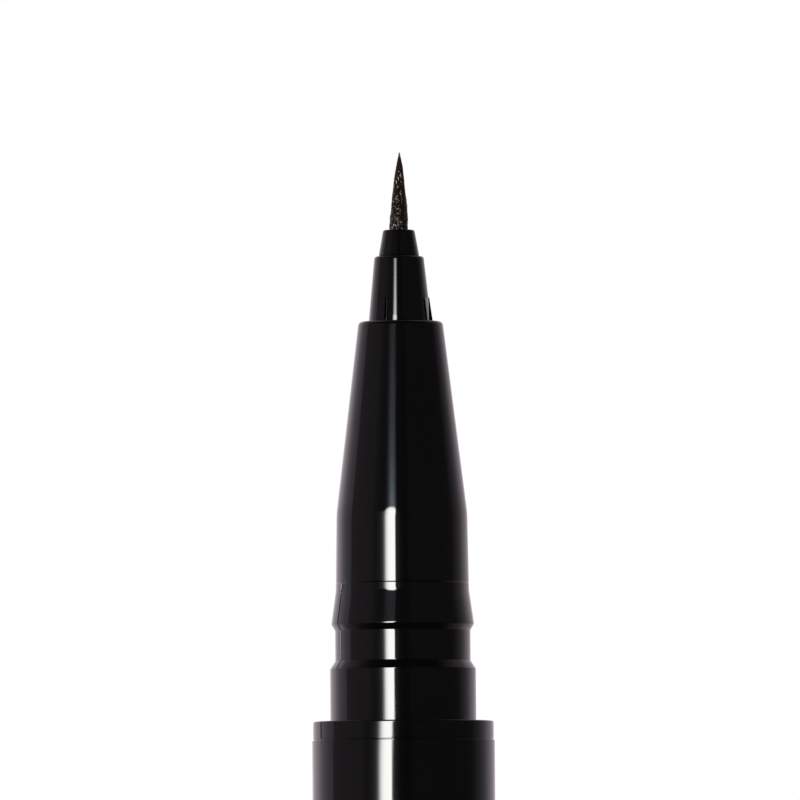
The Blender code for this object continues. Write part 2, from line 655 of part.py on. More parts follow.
def make_spring(frame):
    """A compression spring between the cap's floor and the inner cap, as one wire."""
    low = CAP_FLOOR + FIT_GAP + SPRING_WIRE / 2
    rise = SPRING_LENGTH - SPRING_WIRE
    steps = SPRING_TURNS * SPRING_TURN_POINTS
    points = []
    for step in range(steps + 1):
        turn = math.tau * step / SPRING_TURN_POINTS
        x = SPRING_RADIUS * math.cos(turn)
        y = SPRING_RADIUS * math.sin(turn)
        points.append(Vector((x, y, low + rise * step / steps)))
    for end, inside in ((0, 1), (-1, -2)):
        along = (points[end] - points[inside]).normalized()
        along.z = 0
        straight = points[end] + along * SPRING_WIRE
        points.insert(0 if end == 0 else len(points), straight)

    wire = bpy.data.curves.new("inner_cap_spring", "CURVE")
    wire.dimensions = "3D"
    wire.bevel_depth = SPRING_WIRE / 2
    wire.bevel_resolution = 1
    wire.use_fill_caps = True
    line = wire.splines.new("POLY")
    line.points.add(len(points) - 1)
    for place, point in zip(line.points, points):
        place.co = (*point, 1)
    wire.materials.append(material("inner_cap_spring", *STEEL))
    spring = bpy.data.objects.new("inner_cap_spring", wire)
    spring.parent = frame
    bpy.context.collection.objects.link(spring)

    half_turn = SPRING_TURN_POINTS // 2
    least = min((a - b).length for index, a in enumerate(points) for b in points[index + half_turn:])
    print(f"inner_cap_spring: least gap to itself {(least - SPRING_WIRE) / MM:.2f} mm")
    return spring


# Finishes: colour, roughness and metallic value
BLACK = ((0.006, 0.006, 0.007), 0.08)
BRISTLE = ((0.012, 0.009, 0.008), 0.35)
FIBRE = ((0.80, 0.78, 0.74), 0.9)
WHITE = ((0.75, 0.75, 0.74), 0.4)
GREY = ((0.35, 0.35, 0.36), 0.4)
MILKY = ((0.72, 0.73, 0.74), 0.35)
RUBBER = ((0.02, 0.02, 0.02), 0.7)
STEEL = ((0.60, 0.60, 0.61), 0.2, 1.0)
CUTTER = ((0.5, 0.5, 0.5), 0.5)


def main():
    clear_scene()
    cap = frame_at("cap_frame", 0)
    inner = frame_at("inner_cap_frame", 0, cap)
    pen = frame_at("pen_frame", PEN_HEIGHT, cap)
    ball = frame_at("ball_frame", STOPPER_TOP + FIT_GAP + BALL_RADIUS, pen)
    for make in (make_cap_shell, make_end_disc, make_retainer, make_spring):
        make(cap)
    make_inner_cap(inner)
    make_ball(ball)
    for make in (
            make_brush, make_holder, make_nozzle, make_front_shell, make_wick, make_collector,
            make_tank_plug, make_tank_seal, make_tank, make_stopper, make_barrel, make_tail_plug):
        make(pen)


main()
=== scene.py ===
import math
import random

import bmesh
import bpy
from mathutils import Matrix, Vector, noise


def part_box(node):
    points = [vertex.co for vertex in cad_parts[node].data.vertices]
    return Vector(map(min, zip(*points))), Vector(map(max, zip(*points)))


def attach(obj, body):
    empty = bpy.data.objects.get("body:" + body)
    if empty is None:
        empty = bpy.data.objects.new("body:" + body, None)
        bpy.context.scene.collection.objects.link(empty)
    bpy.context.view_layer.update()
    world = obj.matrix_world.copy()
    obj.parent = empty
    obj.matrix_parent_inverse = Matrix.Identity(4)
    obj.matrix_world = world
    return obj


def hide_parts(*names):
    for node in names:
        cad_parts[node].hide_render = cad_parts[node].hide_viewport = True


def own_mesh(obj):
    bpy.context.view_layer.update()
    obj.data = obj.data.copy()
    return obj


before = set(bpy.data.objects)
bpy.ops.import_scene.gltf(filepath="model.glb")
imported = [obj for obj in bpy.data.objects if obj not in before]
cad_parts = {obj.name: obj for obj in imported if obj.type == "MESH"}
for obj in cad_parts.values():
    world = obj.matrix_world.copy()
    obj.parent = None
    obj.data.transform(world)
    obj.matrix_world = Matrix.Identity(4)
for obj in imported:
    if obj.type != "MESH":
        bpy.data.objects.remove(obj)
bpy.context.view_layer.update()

MM = 0.001

# Camera. Heights in the photograph are counted down from the brush's tip
PHOTO_PIXELS = 800
PIXEL = 0.0601 * MM
CAMERA_DISTANCE = 900 * MM
HORIZON_BELOW_TIP = 52.5 * MM
PHOTO_MIDDLE_BELOW_TIP = 14.86 * MM
PHOTO_MIDDLE_ASIDE = -0.066 * MM
CAMERA_ROLL = math.radians(0.41)
SENSOR = 36.0
CAMERA_NEAR = 10 * MM
CAMERA_FAR = 20000 * MM

# Turned pieces
SIDES = 192
INNER_SIDES = 96
ARC_STEP = math.radians(7.0)
ARC_RUN = 0.12 * MM
ARC_LEAST_STEPS = 3
HOLD = 0.03 * MM
ON_AXIS = HOLD / 100
CLOSE_TURNS_MARGIN = 1.1
SHARPEST_SMOOTH = math.radians(16.0)
SEAM_GAP = 0.05 * MM
FIT_GAP = 0.10 * MM
SEAM_DEPTH = 0.04 * MM
SEAM_ROUNDING = 0.05 * MM
SEAM_SLIT = 0.01 * MM

# Front shell, from the collar up
COLLAR_HEIGHT = 1.08 * MM
COLLAR_ROUNDING = 0.10 * MM
SNAP_LENGTH = 3.14 * MM
SNAP_RADIUS = 4.384 * MM
LEAD_LENGTH = 0.49 * MM
GROOVE_LENGTH = 1.81 * MM
GROOVE_RADIUS = 4.066 * MM
SNAP_RIB_DROP = 0.39 * MM
SNAP_RIB_RADIUS = 4.291 * MM
SNAP_ROUNDING = 0.06 * MM
SNAP_RIB_ROUNDING = 0.18 * MM
FLARE_LENGTH = 2.02 * MM
FLARE_ROUNDING = 2.0 * MM
SLEEVE_RADIUS = 4.003 * MM
WITNESS_HEIGHT = 0.45 * MM
WITNESS_WIDTH = 0.07 * MM
WITNESS_DEPTH = 0.02 * MM
CONE_LENGTH = 11.54 * MM
KNEE_RADIUS = 3.931 * MM
KNEE_ROUNDING = 5.6 * MM
LIP_WIDTH = 0.28 * MM
LIP_ROUNDING = 0.26 * MM
LIP_ROUNDED_SHARE = 0.85
SHELL_DEPTH = 6.43 * MM
SHELL_OPENING = 2.25 * MM
SHELL_BORE = 3.2 * MM
SHELL_NOSE_BORE = 2.7 * MM
SHANK_INSET = 1.0 * MM
SHANK_WALL = 1.0 * MM
SHANK_ROUNDING = 0.3 * MM

# The mould's parting line, as turned from the camera's side, to the right
PARTING_TURNS = (math.radians(-65.5), math.radians(114.5))
PARTING_WIDTH = 0.06 * MM
PARTING_DEPTH = 0.07 * MM
PARTING_RIM = 0.012 * MM
PARTING_WIDE_SHARE = 1.7
PARTING_SHARPNESS = 2.2
PARTING_RIM_PLACE_SHARE = 0.8
PARTING_RIM_SHARPNESS = 4
PARTING_STEPS = 8

# Nozzle and its fins, whose turns start at the camera's side as the parting line's do
NOZZLE_TOP_RADIUS = 1.482 * MM
NOZZLE_BASE_RADIUS = 1.881 * MM
NOZZLE_ROUNDING = 0.17 * MM
NOZZLE_FOOT_HEIGHT = 0.32 * MM
NOZZLE_FOOT_FLARE = 0.0305 * MM
NOZZLE_BORE = 1.057 * MM
NOZZLE_WICK_BORE = 0.6 * MM
NOZZLE_FLANGE_HEIGHT = 0.85 * MM
FIN_TURNS = tuple(math.radians(turn) for turn in (-26.4, 64.8, 154.8, 240.0))
FIN_HEIGHT = 1.40 * MM
FIN_DEPTH = 2.0 * MM
FIN_RISE = 0.285 * MM
FIN_TOP_RISE = 0.226 * MM
FIN_SHOULDER_RADIUS = 1.955 * MM
FIN_NEAR_HALF = 0.093 * MM
FIN_EDGE = 0.012 * MM
FIN_FOOT_RISE = 0.07 * MM
FIN_FOOT_DRAFT = math.radians(8.9)
FIN_SIDE_DRAFT = math.radians(10.0)
FIN_CREST_DRAFT = math.radians(26.5)
FIN_FILLET = 0.015 * MM
FIN_SINK = 0.03 * MM
FIN_ARC_STEPS = 12
FIN_RINGS = 24
FIN_SHARPEST_SMOOTH = math.radians(8.0)

# How far the tip stands off the axis, with shares of it from the lip to the brush's top
LEAN = 0.063 * MM
LEAN_SHARES = ((0, 0.5), (0.32, 1), (0.575, 1.1), (0.714, 0.6), (0.873, 0.35), (0.962, 0))

# Tip holder
HOLDER_TOP_RADIUS = 0.945 * MM
HOLDER_BASE_RADIUS = 1.22 * MM
HOLDER_BORE = 0.62 * MM
HOLDER_ROUNDING = 0.13 * MM
HOLDER_BORE_ROUNDING = 0.05 * MM
HOLDER_SEAM_SLANT = 0.10 * MM

# Brush: filaments laid together by a film of ink, which shows as fine facets
STRAND_COUNT = 56
STRAND_RINGS = 40
STRAND_SIDES = 6
STRAND_RADIUS = 0.020 * MM
STRAND_WANDER = 0.010 * MM
STRAND_WANDER_LENGTH = 0.9 * MM
STRAND_TWIST = math.radians(14.0)
STRAND_SHORTEST_SHARE = 0.86
STRAND_LONGEST_COUNT = 7
STRAND_PLACE_SHARE = 0.4
STRAND_WANDER_SHARES = (0.7, 1.6)
STRAND_DEPTH_SHARES = (0.5, 1.6)
STRAND_SWAY = 0.05
STRAND_SWAY_SHARE = 0.7
STRAND_END_SHARE = 0.15
STRAND_END_LOSS_SHARE = 0.8
STRAND_LEAST_SHARE = 0.35
STRAND_GROWTH = 1.4
STRAND_SEED = 7
STRAND_SHARPEST_SMOOTH = math.radians(70.0)
FILM_SIDES = 60
FILM_RINGS = 56
FILM_TOP_SHARE = 0.985
FILM_CELLS_ROUND = 13
FILM_CELL_ROW = 0.33 * MM
FILM_CELL_DEPTH = 0.008 * MM
FACET_RELIEF = 0.020 * MM
FACET_WANDER = 0.3
FILM_SEED = 11
FILM_RADIUS_SHARE = 0.965
RELIEF_GROWTH = 1.15
CELL_WARP = 3.0
CELL_DRIFT = 2.6
BRUSH_LUMP_SHARE = 0.05
BRUSH_FOOT_DEPTH = 0.3 * MM
BRUSH_FINE_END = 0.08 * MM

# Noise on the brush: its pace round the brush, its pace up each millimetre, and where it starts
LUMPS = (1.2, 1.1, 0)
FINE_LUMPS = (1.6, 2.9, 60)
FINE_LUMP_SHARE = 0.8
CELL_WARPS = (1.8, 1.6, 20)
CELL_DRIFTS = (1.8, 1.3, 40)

# The brush's radius at heights from its foot to its top
BRUSH_OUTLINE_SHARES = (
    (0.0, 1.0), (0.06, 0.985), (0.18, 0.95), (0.305, 0.88), (0.43, 0.775), (0.55, 0.645),
    (0.67, 0.54), (0.79, 0.405), (0.85, 0.31), (0.915, 0.19), (0.95, 0.12), (0.976, 0.095),
    (1.0, 0.06))

# Barrel, tail plug and cap
BARREL_WALL = 0.9 * MM
BARREL_MOUTH_INSET = 0.013 * MM
BARREL_FOOT_ROUNDING = 0.10 * MM
TAIL_BORE = 2.9 * MM
TAIL_END_WALL = 1.1 * MM
TAIL_END_ROUNDING = 0.4 * MM
CAP_BORE = 4.5 * MM
CAP_BEAD_HEIGHT = 0.15 * MM
CAP_BEAD_LENGTH = 0.9 * MM
CAP_BEAD_ROUNDING = 0.3 * MM
CAP_END_ROUNDING = 0.45 * MM
CAP_MOUTH_ROUNDING = 0.12 * MM
CAP_CHAMFER = 0.116 * MM
CAP_FLOOR = 2.3 * MM
END_DISC_DISH = 0.15 * MM
END_DISC_RIM = 0.6 * MM
END_DISC_ROUNDING = 0.08 * MM
INNER_CAP_WALL = 0.8 * MM
INNER_CAP_END_WALL = 0.9 * MM
INNER_CAP_FLANGE = 1.0 * MM
INNER_CAP_STEP = 0.3 * MM
INNER_CAP_ROUNDING = 0.3 * MM
INNER_CAP_EDGE = 0.06 * MM
RETAINER_BORE = 3.75 * MM
RETAINER_ROUNDING = 0.3 * MM
RETAINER_EDGE = 0.06 * MM
SPRING_WIRE = 0.5 * MM
SPRING_TURNS = 4
SPRING_TURN_POINTS = 36
SPRING_SIDES = 12
SPRING_SHARPEST_SMOOTH = math.radians(50.0)

# Depths of the marks in the materials
SINK_DEPTH = 0.0016 * MM
WIPE_DEPTH = 0.00005 * MM
GRAIN_DEPTH = 0.0015 * MM
THREAD_DEPTH = 0.02 * MM
BLOOM_DEPTH = 0.002 * MM
DRAWN_DEPTH = 0.0008 * MM
WET_DEPTH = 0.0015 * MM
SUBSURFACE_REACH = 0.5 * MM

# Noise in the materials: its pace in a metre, its detail, and shares of that pace in X, Y and Z
SINKS = (160, 1, (1, 1, 0.5))
GLOSS_TONES = (90, 3)
GLOSS_HAZE = (700, 4, (1, 1, 0.25))
WIPES = (5200, 3, (1, 1, 0.06))
FLOW_MARKS = (260, 4, (1, 1, 0.4))
MATT_HAZE = (900, 3)
GRAIN = (9000, 3)
THREADS = (16000, 2, (1, 1, 0.03))
BLOOM = (1200, 4)
RUBBER_GRAIN = (7000, 3)
BALL_MARKS = (6000, 3, (1, 1, 1))
SPRING_MARKS = (6000, 3, (0.2, 0.2, 1))
WET_MARKS = (5200, 3, (1, 1, 0.4))
FLOOR_TONES = (3, 4)

# Where most of a noise texture's values lie, and where its two shades stand
NOISE_LOW = 0.25
NOISE_HIGH = 0.75
SHADE_PLACES = (0.3, 0.7)
THREAD_PLACES = (0.35, 0.65)

# Colours, each as its darker and its lighter shade
GLOSS_BLACK = ((0.0009, 0.0008, 0.0010), (0.0016, 0.0014, 0.0015))
GREY = ((0.30, 0.30, 0.31), (0.37, 0.37, 0.38))
WHITE = ((0.62, 0.62, 0.61), (0.74, 0.74, 0.73))
MILKY = ((0.66, 0.67, 0.68), (0.74, 0.75, 0.76))
THREAD = ((0.42, 0.38, 0.34), (0.80, 0.77, 0.72))
RUBBER = ((0.010, 0.010, 0.010), (0.022, 0.022, 0.023))
STEEL = ((0.50, 0.50, 0.51), (0.68, 0.68, 0.69))
FLOOR = ((0.84, 0.84, 0.84), (0.88, 0.88, 0.88))

# The brush's colours at shares of its height, and shares between which a roughness varies
BRISTLE = (
    (0.0, (0.0066, 0.0036, 0.0026)), (0.80, (0.0120, 0.0058, 0.0040)),
    (0.93, (0.026, 0.012, 0.0085)), (1.0, (0.110, 0.055, 0.040)))
GLOSS_SHARES = (0.8, 1.3)
MATT_SHARES = (0.85, 1.15)

# Light. The softbox's outline and droop are in degrees, other sizes and places in metres
WORLD_DIFFUSE = 0.62
STUDIO_TINT = (1, 0.90, 0.99)
SOFTBOX_TINT = (1, 1, 0.97)
SOFTBOX_HALO_TINT = (0.86, 1, 1.12)
SOFTBOX_HALO = 0.2
KEY_POWER = 3.4
KEY_SIZE = 0.45
KEY_PLACE = Vector((-0.45, -0.65, 0.60))
SOFTBOX_DISTANCE = 1.5
SOFTBOX_HEIGHT = 0.145
SOFTBOX_LEFT = -46.0
SOFTBOX_RIGHT = -3.0
SOFTBOX_BOTTOM = -25.0
SOFTBOX_TOP = 24.0
SOFTBOX_LEVEL = 23.8
SOFTBOX_COLUMNS = 48
SOFTBOX_MIDDLE = -20.0
SOFTBOX_HALF_WIDTH = 8.0
SOFTBOX_DROOP = 2.4
SOFTBOX_MOST_DROOP = 5.0
SOFTBOX_DROOP_FADES = (14.75, 15.3)
SOFTBOX_DROOP_KEPT = 0.25
FLOOR_SIZE = 8.0
FLOOR_CELLS = 8

# The softbox's brightness at turns given as degrees from the camera's side, to the right
SOFTBOX_SPREAD = (
    (-46.0, 0), (-41.0, 0.003), (-38.5, 0.007), (-36.5, 0.012), (-34.5, 0.021), (-32.8, 0.050),
    (-31.0, 0.150), (-30.2, 0.235), (-29.4, 0.37), (-28.5, 0.50), (-27.6, 0.64), (-26.8, 0.735),
    (-25.8, 0.83), (-24.7, 0.90), (-23.3, 0.955), (-21.8, 0.985), (-20.0, 1.0), (-14.2, 1.0),
    (-13.0, 0.025), (-11.0, 0.012), (-8.5, 0.007), (-6.0, 0.0025), (-3.0, 0))

# The softbox's brightness at heights given as degrees above the horizon
SOFTBOX_FADE = (
    (11.5, 1.0), (12.4, 0.94), (13.2, 0.83), (14.0, 0.63), (14.3, 0.51), (14.45, 0.44),
    (14.6, 0.38), (14.75, 0.29), (14.9, 0.245), (15.05, 0.215), (15.25, 0.165), (15.45, 0.098),
    (15.63, 0.042), (16.3, 0.015), (19.5, 0.0125), (22.0, 0.002), (24.0, 0))

# How far the softbox's left and right sides stand to the right, in degrees, at such heights
SOFTBOX_ASIDE = (
    (-25.0, -1.4, -1.4), (0.30, -1.4, -1.4), (0.345, -0.6, -1.0), (0.44, 3.4, 1.3), (0.48, 0.9, -0.6),
    (0.80, 0.8, -0.7), (0.86, -0.9, 0.1), (1.2, -0.9, 0.1), (3.0, -1.9, 2.6), (8.0, -1.9, 3.6),
    (10.0, -1.9, 3.6), (12.0, -1.9, 3.6), (13.0, -1.9, 3.6), (13.5, -1.9, 3.6), (14.0, -1.5, 3.7),
    (14.3, -0.9, 3.9), (14.6, 0, 4.3), (15.0, 0, 5.5), (15.3, -0.6, 6.0), (15.5, -1.6, 4.7),
    (15.7, -2.2, 3.5), (15.93, -2.8, 2.2), (16.17, -3.3, 0.9), (16.42, -4.0, -0.5), (17.0, -2.2, 1.2),
    (17.8, 2.8, 2.8), (20.0, 2.8, 2.8), (24.0, 2.8, 2.8))

# What a mirror-smooth surface sees round the object: degrees from the camera's side, to the right
SURROUND = (
    (-180, 1.00), (-138, 1.00), (-134, 0.93), (-129, 0.79), (-122, 0.66), (-110, 0.52),
    (-101.5, 0.48), (-100.5, 0.21), (-56, 0.20), (-49, 0.14), (-40, 0.10), (8, 0.04),
    (14, 0.075), (90, 0.07), (97, 0.08), (105, 0.16), (114, 0.25), (123, 0.39), (136, 0.66),
    (150, 0.76), (165, 0.84), (180, 1.00))

# The same for what it sees steeply above and below, taking over between two sines of height
SURROUND_STEEP = (
    (-180, 0.45), (-150, 0.45), (-135, 0.42), (-122, 0.30), (-110, 0.21), (-98, 0.13),
    (-87, 0.07), (-74, 0.04), (-62, 0.02), (80, 0.02), (86, 0.03), (92, 0.06),
    (98, 0.10), (109, 0.17), (120, 0.25), (133, 0.33), (150, 0.42), (180, 0.45))
STEEP_STARTS = 0.38
STEEP_REACHED = 0.55

BARREL_LOW, BARREL_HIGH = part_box("barrel")
SHELL_LOW, SHELL_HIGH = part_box("front_shell")
NOZZLE_LOW, NOZZLE_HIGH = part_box("nozzle")
HOLDER_LOW, HOLDER_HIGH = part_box("tip_holder")
BRUSH_LOW, BRUSH_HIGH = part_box("brush_tip")
TAIL_LOW, TAIL_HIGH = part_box("tail_plug")
CAP_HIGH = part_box("cap_shell")[1]
DISC_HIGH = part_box("cap_end_disc")[1]
INNER_LOW, INNER_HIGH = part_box("inner_cap")
RETAINER_LOW, RETAINER_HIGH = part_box("inner_cap_retainer")
SPRING_LOW, SPRING_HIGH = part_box("inner_cap_spring")

COLLAR_BOTTOM = BARREL_HIGH.z + SEAM_GAP
COLLAR_TOP = COLLAR_BOTTOM + COLLAR_HEIGHT
COLLAR_RADIUS = SHELL_HIGH.x
LIP = SHELL_HIGH.z
SNAP_TOP = COLLAR_TOP + SNAP_LENGTH
GROOVE_BOTTOM = SNAP_TOP + LEAD_LENGTH
GROOVE_TOP = GROOVE_BOTTOM + GROOVE_LENGTH
SNAP_RIB = GROOVE_TOP + SNAP_RIB_DROP
SLEEVE_BOTTOM = SNAP_RIB + FLARE_LENGTH
WITNESS = SLEEVE_BOTTOM + WITNESS_HEIGHT
KNEE = LIP - CONE_LENGTH
TAIL_COLLAR_TOP = BARREL_LOW.z - SEAM_GAP
TAIL_COLLAR_BOTTOM = TAIL_COLLAR_TOP - COLLAR_HEIGHT
BRUSH_FOOT = HOLDER_HIGH.z - BRUSH_FOOT_DEPTH
BRUSH_TOP = BRUSH_HIGH.z + BRUSH_FINE_END


def facing(turn):
    """The level direction at a turn from the camera's side, to the right."""
    return Vector((math.sin(turn), -math.cos(turn), 0))


# Turned outlines

def arc_corner(before, corner, after, rounding, share=0.5):
    """Points of the arc that rounds a corner, which takes at most a share of either side."""
    corner = Vector(corner)
    to_before = Vector(before) - corner
    to_after = Vector(after) - corner
    longest = min(to_before.length, to_after.length) * share
    to_before.normalize()
    to_after.normalize()
    half_angle = to_before.angle(to_after) / 2
    reach = min(rounding / math.tan(half_angle), longest)
    radius = reach * math.tan(half_angle)
    centre = corner + (to_before + to_after).normalized() * radius / math.sin(half_angle)
    start = corner + to_before * reach - centre
    end = corner + to_after * reach - centre
    sweep = math.atan2(start.x * end.y - start.y * end.x, start.dot(end))
    steps = max(
        ARC_LEAST_STEPS, math.ceil(abs(sweep) / ARC_STEP), math.ceil(abs(sweep) * radius / ARC_RUN))
    return [centre + Matrix.Rotation(sweep * step / steps, 2) @ start for step in range(steps + 1)]


def outline(corners):
    """Outline points from corners: radius, height and, if rounded, rounding and share.

    Long straight runs get a point close to each end, which keeps their shading flat.
    """
    turns = []
    for index, corner in enumerate(corners):
        if len(corner) == 2:
            turns.append([Vector(corner)])
            continue
        before = corners[index - 1][:2]
        after = corners[(index + 1) % len(corners)][:2]
        turns.append(arc_corner(before, corner[:2], after, *corner[2:]))
    points = []
    for index, turn in enumerate(turns):
        points.extend(turn)
        after = turns[(index + 1) % len(turns)][0]
        run = after - turn[-1]
        if run.length > 4 * HOLD:
            points.append(turn[-1] + run.normalized() * HOLD)
            points.append(after - run.normalized() * HOLD)
    return points


def ring_turns(sides, middles, offsets):
    """Turns of the sides of a turned piece, with the offsets' closer ones at some middles."""
    turns = [math.tau * side / sides for side in range(sides)]
    for middle in middles:
        clear = max(offsets) * CLOSE_TURNS_MARGIN
        turns = [turn for turn in turns if abs(turn_between(turn, middle)) > clear]
        turns.extend((middle + offset) % math.tau for offset in offsets)
    return sorted(turns)


def turn_between(turn, middle):
    return (turn - middle + math.pi) % math.tau - math.pi


def tip_lean(height):
    """How far the tip stands off the axis at a height: real pens' tips aren't quite straight."""
    share = max(0, height - LIP) / (BRUSH_HIGH.z - LIP)
    for low, high in zip(LEAN_SHARES, LEAN_SHARES[1:]):
        if share <= high[0]:
            along = (share - low[0]) / (high[0] - low[0])
            return -LEAN * (low[1] + along * (high[1] - low[1]))
    return 0


def turned(name, corners, sides=SIDES, relief=None, middles=(), offsets=(), leans=False):
    """Turn an outline round the axis. One that starts and ends on the axis is a solid.

    relief gives how far the surface stands out at a turn and an outline point.
    """
    points = outline(corners)
    turns = ring_turns(sides, middles, offsets)
    shape = bmesh.new()
    rings = []
    for point in points:
        aside = tip_lean(point.y) if leans else 0
        if point.x < ON_AXIS:
            rings.append([shape.verts.new((aside, 0, point.y))])
            continue
        ring = []
        for turn in turns:
            radius = point.x
            if relief is not None:
                radius += relief(turn, point)
            spot = facing(turn) * radius
            ring.append(shape.verts.new((spot.x + aside, spot.y, point.y)))
        rings.append(ring)
    closed = len(rings[0]) > 1 or len(rings[-1]) > 1
    pairs = list(zip(rings, rings[1:]))
    if closed:
        pairs.append((rings[-1], rings[0]))
    for upper, lower in pairs:
        if len(upper) == 1 and len(lower) == 1:
            continue
        for side in range(len(turns)):
            after = (side + 1) % len(turns)
            corners_round = (
                upper[side % len(upper)], upper[after % len(upper)],
                lower[after % len(lower)], lower[side % len(lower)])
            shape.faces.new(dict.fromkeys(corners_round))
    return add_piece(name, shape)


# Meshes and objects

def skin_rings(shape, rings):
    """Join rings of vertices into a closed tube with flat ends."""
    shape.faces.new(list(reversed(rings[0])))
    for lower, upper in zip(rings, rings[1:]):
        for side in range(len(lower)):
            after = (side + 1) % len(lower)
            shape.faces.new((lower[side], lower[after], upper[after], upper[side]))
    shape.faces.new(rings[-1])


def add_object(name, data):
    made = bpy.data.objects.new(name, data)
    bpy.context.scene.collection.objects.link(made)
    return made


def add_shape(name, shape):
    mesh = bpy.data.meshes.new(name)
    shape.to_mesh(mesh)
    shape.free()
    return add_object(name, mesh)


def add_piece(name, shape, sharpest_smooth=SHARPEST_SMOOTH):
    """Add a closed shape, facing outwards, smooth where its faces meet at small angles."""
    bmesh.ops.recalc_face_normals(shape, faces=shape.faces)
    if shape.calc_volume(signed=True) < 0:
        bmesh.ops.reverse_faces(shape, faces=shape.faces)
    piece = add_shape(name, shape)
    piece.data.shade_smooth()
    piece.data.set_sharp_from_angle(angle=sharpest_smooth)
    return piece


def fit_out(piece, body, node, material):
    """Give a piece its finish and let it stand for a CAD node."""
    piece.data.materials.clear()
    piece.data.materials.append(material)
    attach(piece, body)
    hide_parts(node)
    return piece


# Materials

class Nodes:
    """A node tree and short ways to wire it."""

    def __init__(self, tree):
        self.tree = tree

    def node(self, kind, **settings):
        made = self.tree.nodes.new("ShaderNode" + kind)
        for key, value in settings.items():
            setattr(made, key, value)
        return made

    def feed(self, target, source):
        """Link a socket to its source, or set its plain value."""
        if isinstance(source, bpy.types.NodeSocket):
            self.tree.links.new(source, target)
        else:
            target.default_value = source

    def parts(self, vector):
        split = self.node("SeparateXYZ")
        self.feed(split.inputs["Vector"], vector)
        return split.outputs

    def reckon(self, operation, *sources):
        made = self.node("Math", operation=operation)
        for target, source in zip(made.inputs, sources):
            self.feed(target, source)
        return made.outputs["Value"]

    def mix(self, factor, first, second):
        made = self.node("Mix", data_type="RGBA")
        for key, source in (("Factor", factor), ("A", first), ("B", second)):
            self.feed(made.inputs[key], source)
        return made.outputs["Result"]

    def spread(self, source, low, high, least=0, most=1, **settings):
        """Map values from low to high onto those from least to most."""
        made = self.node("MapRange", **settings)
        ends = {"From Min": low, "From Max": high, "To Min": least, "To Max": most, "Value": source}
        for key, value in ends.items():
            self.feed(made.inputs[key], value)
        return made.outputs["Result"]

    def ramp(self, source, stops):
        """Map a value to colours. stops are (place, colour) pairs."""
        ramp = self.node("ValToRGB")
        elements = ramp.color_ramp.elements
        while len(elements) < len(stops):
            elements.new(0.5)
        for element, (place, colour) in zip(elements, stops):
            element.position = place
            element.color = (*colour, 1)
        self.feed(ramp.inputs["Fac"], source)
        return ramp.outputs["Color"]


class Finish(Nodes):
    """A Principled material. Its sockets are named with underscores for spaces."""

    def __init__(self, name):
        self.material = bpy.data.materials.new(name)
        self.material.use_nodes = True
        super().__init__(self.material.node_tree)
        self.shader = self.tree.nodes["Principled BSDF"]
        self.place = self.node("TexCoord").outputs["Object"]

    def set(self, **sources):
        for key, source in sources.items():
            self.feed(self.shader.inputs[key.replace("_", " ")], source)

    def noise(self, scale, detail, shares=(1, 1, 1)):
        """Noise with as many features in a metre as scale says, times its share along each axis."""
        mapping = self.node("Mapping")
        self.feed(mapping.inputs["Scale"], shares)
        self.feed(mapping.inputs["Vector"], self.place)
        texture = self.node("TexNoise")
        self.feed(texture.inputs["Scale"], scale)
        self.feed(texture.inputs["Detail"], detail)
        self.feed(texture.inputs["Vector"], mapping.outputs["Vector"])
        return texture.outputs["Fac"]

    def shades(self, source, colours, places=SHADE_PLACES):
        return self.ramp(source, list(zip(places, colours)))

    def vary(self, source, least, most):
        return self.spread(source, NOISE_LOW, NOISE_HIGH, least, most)

    def bump(self, source, depth, under=None):
        bump = self.node("Bump")
        self.feed(bump.inputs["Strength"], 1)
        self.feed(bump.inputs["Distance"], depth)
        self.feed(bump.inputs["Height"], source)
        if under is not None:
            self.feed(bump.inputs["Normal"], under)
        return bump.outputs["Normal"]


def gloss_black(name, roughness=0.04):
    """High-gloss black moulding: faint sink marks, fine wipe marks and a little haze."""
    finish = Finish(name)
    sink = finish.bump(finish.noise(*SINKS), SINK_DEPTH)
    least, most = GLOSS_SHARES
    finish.set(
        IOR=1.5,
        Base_Color=finish.shades(finish.noise(*GLOSS_TONES), GLOSS_BLACK),
        Roughness=finish.vary(finish.noise(*GLOSS_HAZE), roughness * least, roughness * most),
        Normal=finish.bump(finish.noise(*WIPES), WIPE_DEPTH, sink))
    return finish.material


def moulded(name, colours, roughness, subsurface=0):
    """Plain moulded plastic with faint flow marks and a fine matt grain."""
    finish = Finish(name)
    if subsurface:
        finish.set(
            Subsurface_Weight=subsurface, Subsurface_Scale=SUBSURFACE_REACH,
            Subsurface_Radius=(1, 0.95, 0.9))
    least, most = MATT_SHARES
    finish.set(
        IOR=1.49,
        Base_Color=finish.shades(finish.noise(*FLOW_MARKS), colours),
        Roughness=finish.vary(finish.noise(*MATT_HAZE), roughness * least, roughness * most),
        Normal=finish.bump(finish.noise(*GRAIN), GRAIN_DEPTH))
    return finish.material


def fibre(name):
    """Bonded fibre rod: fine threads along the pen."""
    finish = Finish(name)
    threads = finish.noise(*THREADS)
    finish.set(
        Roughness=0.85,
        Base_Color=finish.shades(threads, THREAD, THREAD_PLACES),
        Normal=finish.bump(threads, THREAD_DEPTH))
    return finish.material


def rubber(name):
    finish = Finish(name)
    bloom = finish.noise(*BLOOM)
    finish.set(
        Base_Color=finish.shades(bloom, RUBBER),
        Roughness=finish.vary(bloom, 0.55, 0.75),
        Normal=finish.bump(finish.noise(*RUBBER_GRAIN), BLOOM_DEPTH))
    return finish.material


def steel(name, kind):
    """Bright steel with drawing or grinding marks of a kind."""
    finish = Finish(name)
    marks = finish.noise(*kind)
    finish.set(
        Metallic=1,
        Base_Color=finish.shades(marks, STEEL),
        Roughness=finish.vary(marks, 0.14, 0.30),
        Normal=finish.bump(marks, DRAWN_DEPTH))
    return finish.material


